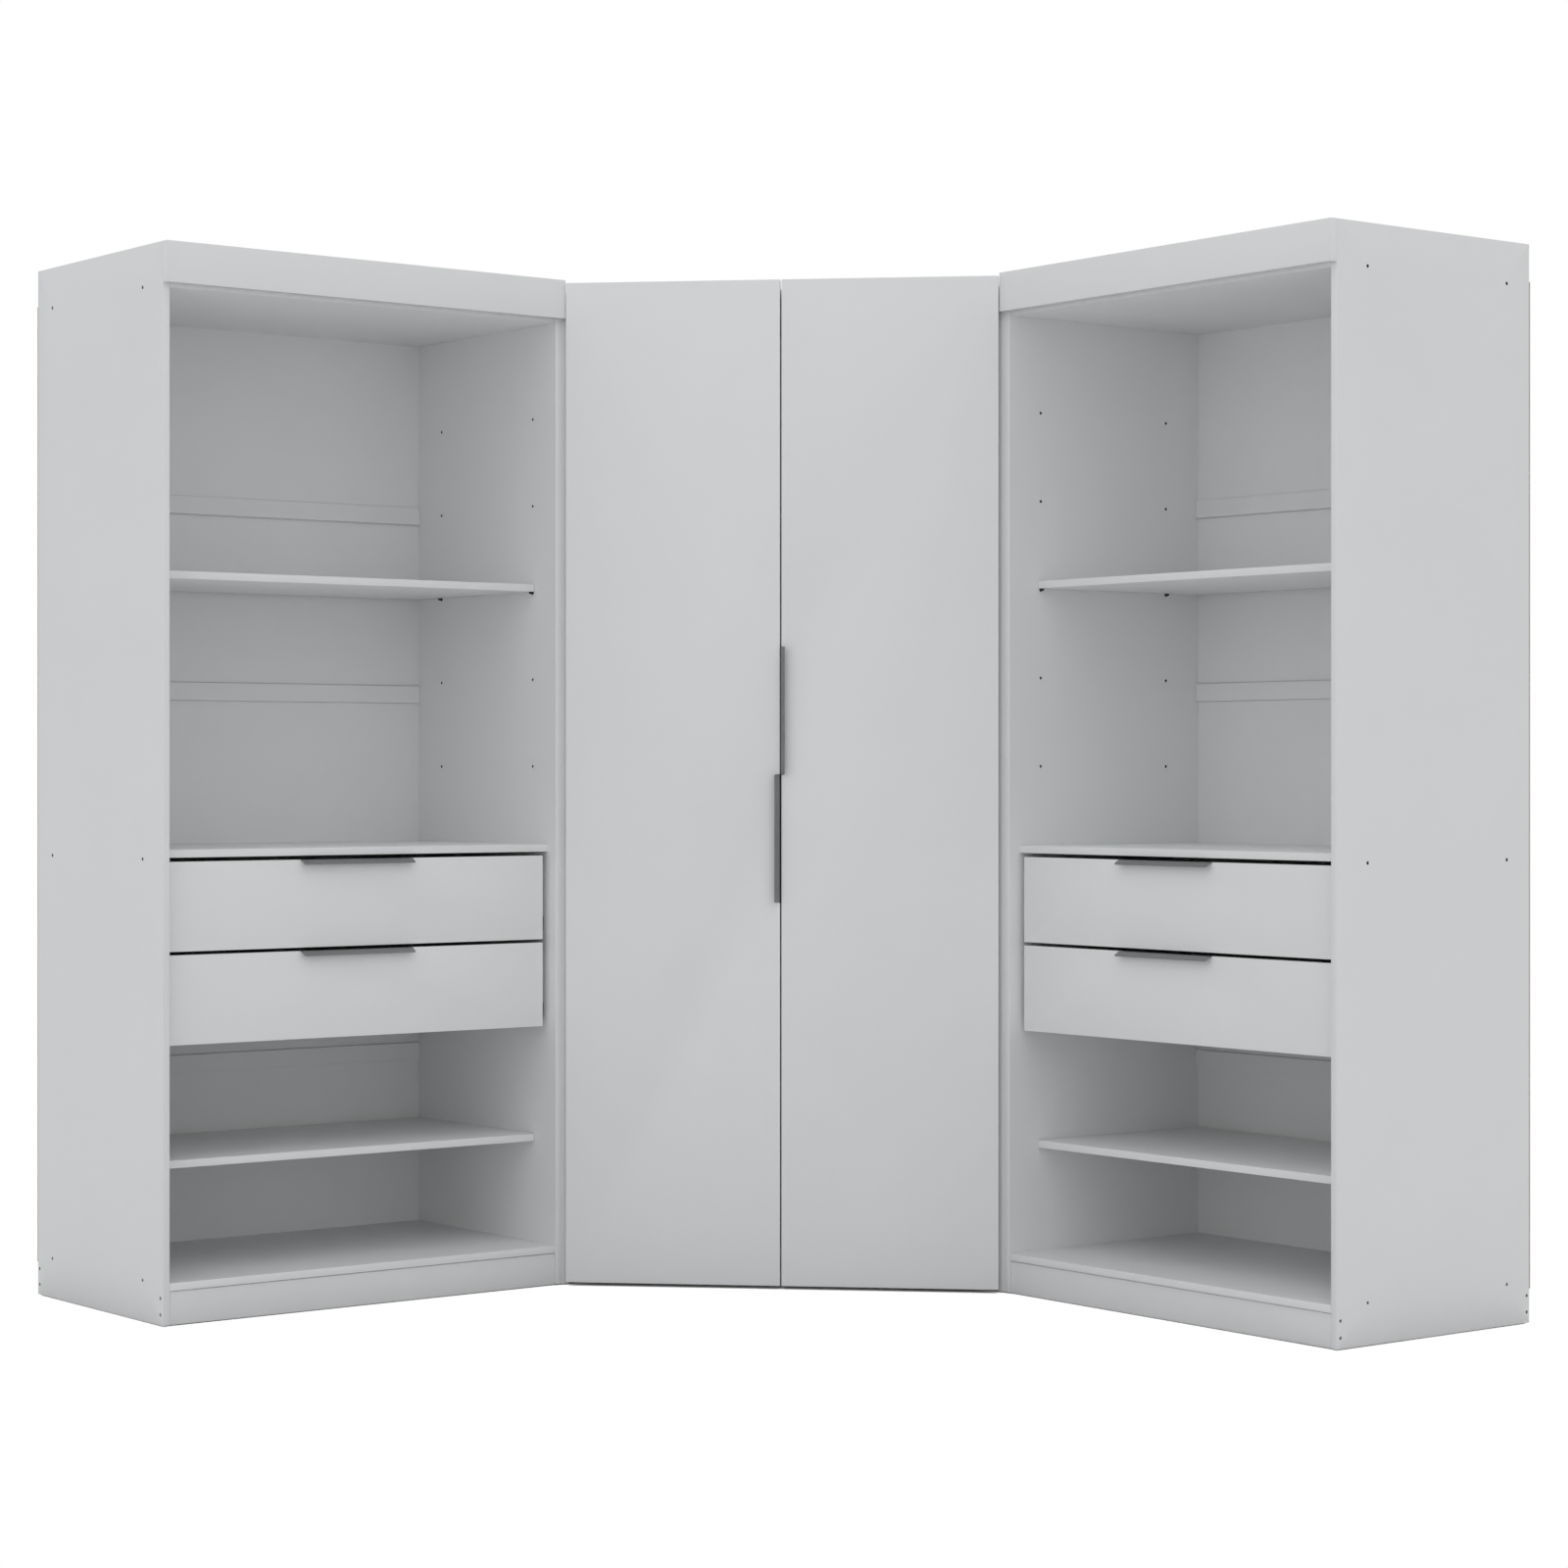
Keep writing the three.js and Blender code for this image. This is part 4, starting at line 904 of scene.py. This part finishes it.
# hinge arms and links
AXIS = (552.505, -1181.122)
for SIDE in ("left", "right"):
    put = (lambda s: s) if SIDE == "left" else (lambda s: s.mapped(reflected))
    face = -WALL_SIDE + 0.3
    for place, z in zip(("lower", "middle", "upper"), HINGE_Z):
        arm = plate(rounded([(470, z - 24), (512, z - 24), (512, z + 24), (470, z + 24)], 6.0, 5), face, face + 2.6, lambda u, v, w: (u, w, v), mats=("nickel", "nickel"), edge="nickel", bevel=0.5)
        arm.join(plate(rounded(rect(463, 541, z - 8.0, z + 8.0), 4.0, 5), face + 2.6, face + 11.6, lambda u, v, w: (u, w, v), mats=("nickel", "nickel"), edge="nickel", bevel=2.4, steps=4, smooth_edge=True))
        nose_line = diagonal(3.0)
        nose = [(538, face + 3.0), (547.5, 548 - nose_line), (554.5, 555 - nose_line), (548, face + 13.5), (536, face + 11.0)]
        arm.join(plate(rounded(nose, 1.5, 3), z - 6.5, z + 6.5, lambda u, v, w: (u, v, w), mats=("nickel", "nickel"), edge="nickel", bevel=0.8, steps=2, smooth_edge=True))
        for x, r in ((476.0, 3.6), (503.0, 3.6)):
            arm.join(screw_head(along_y(x, face + 11.6, z, 1.0), r, 0.9, -0.2, dome=0.2, depth=0.8))
        for b in (-17.0, 17.0):
            arm.join(screw_head(along_y(491.0, face + 2.6, z + b, 1.0), 4.0, 1.8, -0.1, dome=0.6, depth=1.2))
        emit(f"{SIDE}_hinge_arm_{place}", put(arm), "carcass", "hinge_steel", f"{SIDE}_hinge_{place}")

    links = Shape()
    a, b = (548.5, -1154.6), (562.0, -1157.4)
    for z in HINGE_Z:
        for low, high in ((-5.6, -2.2), (2.2, 5.6)):
            rows = []
            for k in range(25):
                f = k / 24
                x, y = a[0] + (b[0] - a[0]) * f, a[1] + (b[1] - a[1]) * f
                half = 1.5
                rows.append([(x, y - half, z + low + 0.4), (x, y - half + 0.4, z + low), (x, y + half - 0.4, z + low), (x, y + half, z + low + 0.4),
                             (x, y + half, z + high - 0.4), (x, y + half - 0.4, z + high), (x, y - half + 0.4, z + high), (x, y - half, z + high - 0.4)])
            links.join(sweep(rows, "nickel"))
    piece = emit(f"{SIDE}_hinge_links", put(links), "carcass", "hinge_steel")
    # the links ride on no body: they are taken off it and baked in place
    piece.parent = None
    del piece["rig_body"]
    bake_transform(piece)

# soft buffers that the doors close on
buffers = Shape()
for z in (PLINTH_HEIGHT + 7.5, 2040.0 - 7.5):
    for t in (-60.0, 60.0, -380.0, 380.0):
        buffers.join(lathe([(0, -2.0), (4.4, -2.0), (4.6, -1.6), (4.4, 0.0), (3.2, 0.55), (0, 0.7)], lambda a, b, h, z=z, t=t: on_door(t + a, z + b, h), 24, "clear_grey_rubber"))
emit("door_buffers", buffers, "carcass", "pale_laminate")

# ---------------------------------------------------------------- floor, light and camera
def math_node(tree, kind, a, b=None, clamp=False):
    node = tree.nodes.new("ShaderNodeMath")
    node.operation = kind
    node.use_clamp = clamp
    for i, value in enumerate((a, b)):
        if isinstance(value, (int, float)):
            node.inputs[i].default_value = value
        elif value is not None:
            tree.links.new(value, node.inputs[i])
    return node.outputs[0]


# a matt pale floor, lit so evenly that it meets the backdrop without a line; close to the pieces its colour is darkened
# by ambient occlusion, a painted contact shade, and right under them it is dark
floor_mat, tree, shader, place = new_material("floor_paint")
wide = tree.nodes.new("ShaderNodeAmbientOcclusion")
wide.samples = 6
wide.inputs["Distance"].default_value = 0.3
patches = mixed(tree, ramp(tree, noise(tree, place.outputs["Object"], 1.3, 3.0, 0.5), 0.0, 1.0), (0.850, 0.838, 0.848), (0.870, 0.858, 0.868))
# the floor's colour darkens where ambient occlusion is low: painted contact shade
painted_contact_shade = ramp(tree, wide.outputs["AO"], 0.50, 1.0, 0.15, 0.95)
tree.links.new(mixed(tree, 1.0, patches, painted_contact_shade, blend="MULTIPLY"), shader.inputs["Base Color"])
shader.inputs["Roughness"].default_value = 0.9
shader.inputs["Specular IOR Level"].default_value = 0.0
near = tree.nodes.new("ShaderNodeAmbientOcclusion")
near.samples = 16
near.inputs["Distance"].default_value = 0.3
open_air = ramp(tree, near.outputs["AO"], 0.0, 1.0, 0.05, 0.14)
seen = tree.nodes.new("ShaderNodeLightPath")
glow = tree.nodes.new("ShaderNodeEmission")
glow.inputs["Strength"].default_value = 1.0
join = tree.nodes.new("ShaderNodeMixShader")
tree.links.new(math_node(tree, "MULTIPLY", seen.outputs["Is Camera Ray"], open_air), join.inputs["Fac"])
tree.links.new(shader.outputs["BSDF"], join.inputs[1])
tree.links.new(glow.outputs["Emission"], join.inputs[2])
out = next(n for n in tree.nodes if n.type == "OUTPUT_MATERIAL")
tree.links.new(join.outputs["Shader"], out.inputs["Surface"])
mesh = bpy.data.meshes.new("floor")
mesh.from_pydata([(-60, -60, -0.0022), (60, -60, -0.0022), (60, 60, -0.0022), (-60, 60, -0.0022)], [], [(0, 1, 2, 3)])
mesh.materials.append(floor_mat)
floor = bpy.data.objects.new("floor", mesh)
bpy.context.scene.collection.objects.link(floor)

# soft light from all around, a little stronger from high in front of the corner
LIGHT_ALL, LIGHT_HIGH = 0.680, 0.30
world = bpy.data.worlds.new("studio")
bpy.context.scene.world = world
world.use_nodes = True
tree = world.node_tree
tree.nodes.clear()
sky = tree.nodes.new("ShaderNodeBackground")
way = tree.nodes.new("ShaderNodeTexCoord").outputs["Generated"]
facing = tree.nodes.new("ShaderNodeVectorMath")
facing.operation = "DOT_PRODUCT"
facing.inputs[1].default_value = (0.5, -0.5, math.sqrt(0.5))
tree.links.new(way, facing.inputs[0])
high = math_node(tree, "MULTIPLY", math_node(tree, "POWER", math_node(tree, "MAXIMUM", facing.outputs["Value"], 0.0), 4.0), LIGHT_HIGH)
seen = tree.nodes.new("ShaderNodeLightPath")
tree.links.new(math_node(tree, "MAXIMUM", math_node(tree, "ADD", high, LIGHT_ALL), seen.outputs["Is Camera Ray"]), sky.inputs["Strength"])
tree.links.new(mixed(tree, seen.outputs["Is Camera Ray"], (0.990, 1.0, 1.004), (1.0, 1.0, 1.0)), sky.inputs["Color"])
out = tree.nodes.new("ShaderNodeOutputWorld")
tree.links.new(sky.outputs["Background"], out.inputs["Surface"])

camera_data = bpy.data.cameras.new("camera")
camera_data.sensor_width = 36.0
camera_data.lens = 81.80
camera_data.shift_x, camera_data.shift_y = 0.0, -0.0088
camera_data.clip_start, camera_data.clip_end = 0.05, 300.0
camera = bpy.data.objects.new("camera", camera_data)
camera.location = (5.5641, -4.2663, 1.0577)
camera.rotation_euler = (math.radians(90.0), 0.0, math.radians(52.2))
bpy.context.scene.collection.objects.link(camera)
bpy.context.scene.camera = camera
bpy.context.scene.view_settings.view_transform = "Standard"
bpy.context.scene.view_settings.look = "None"

bpy.context.view_layer.update()
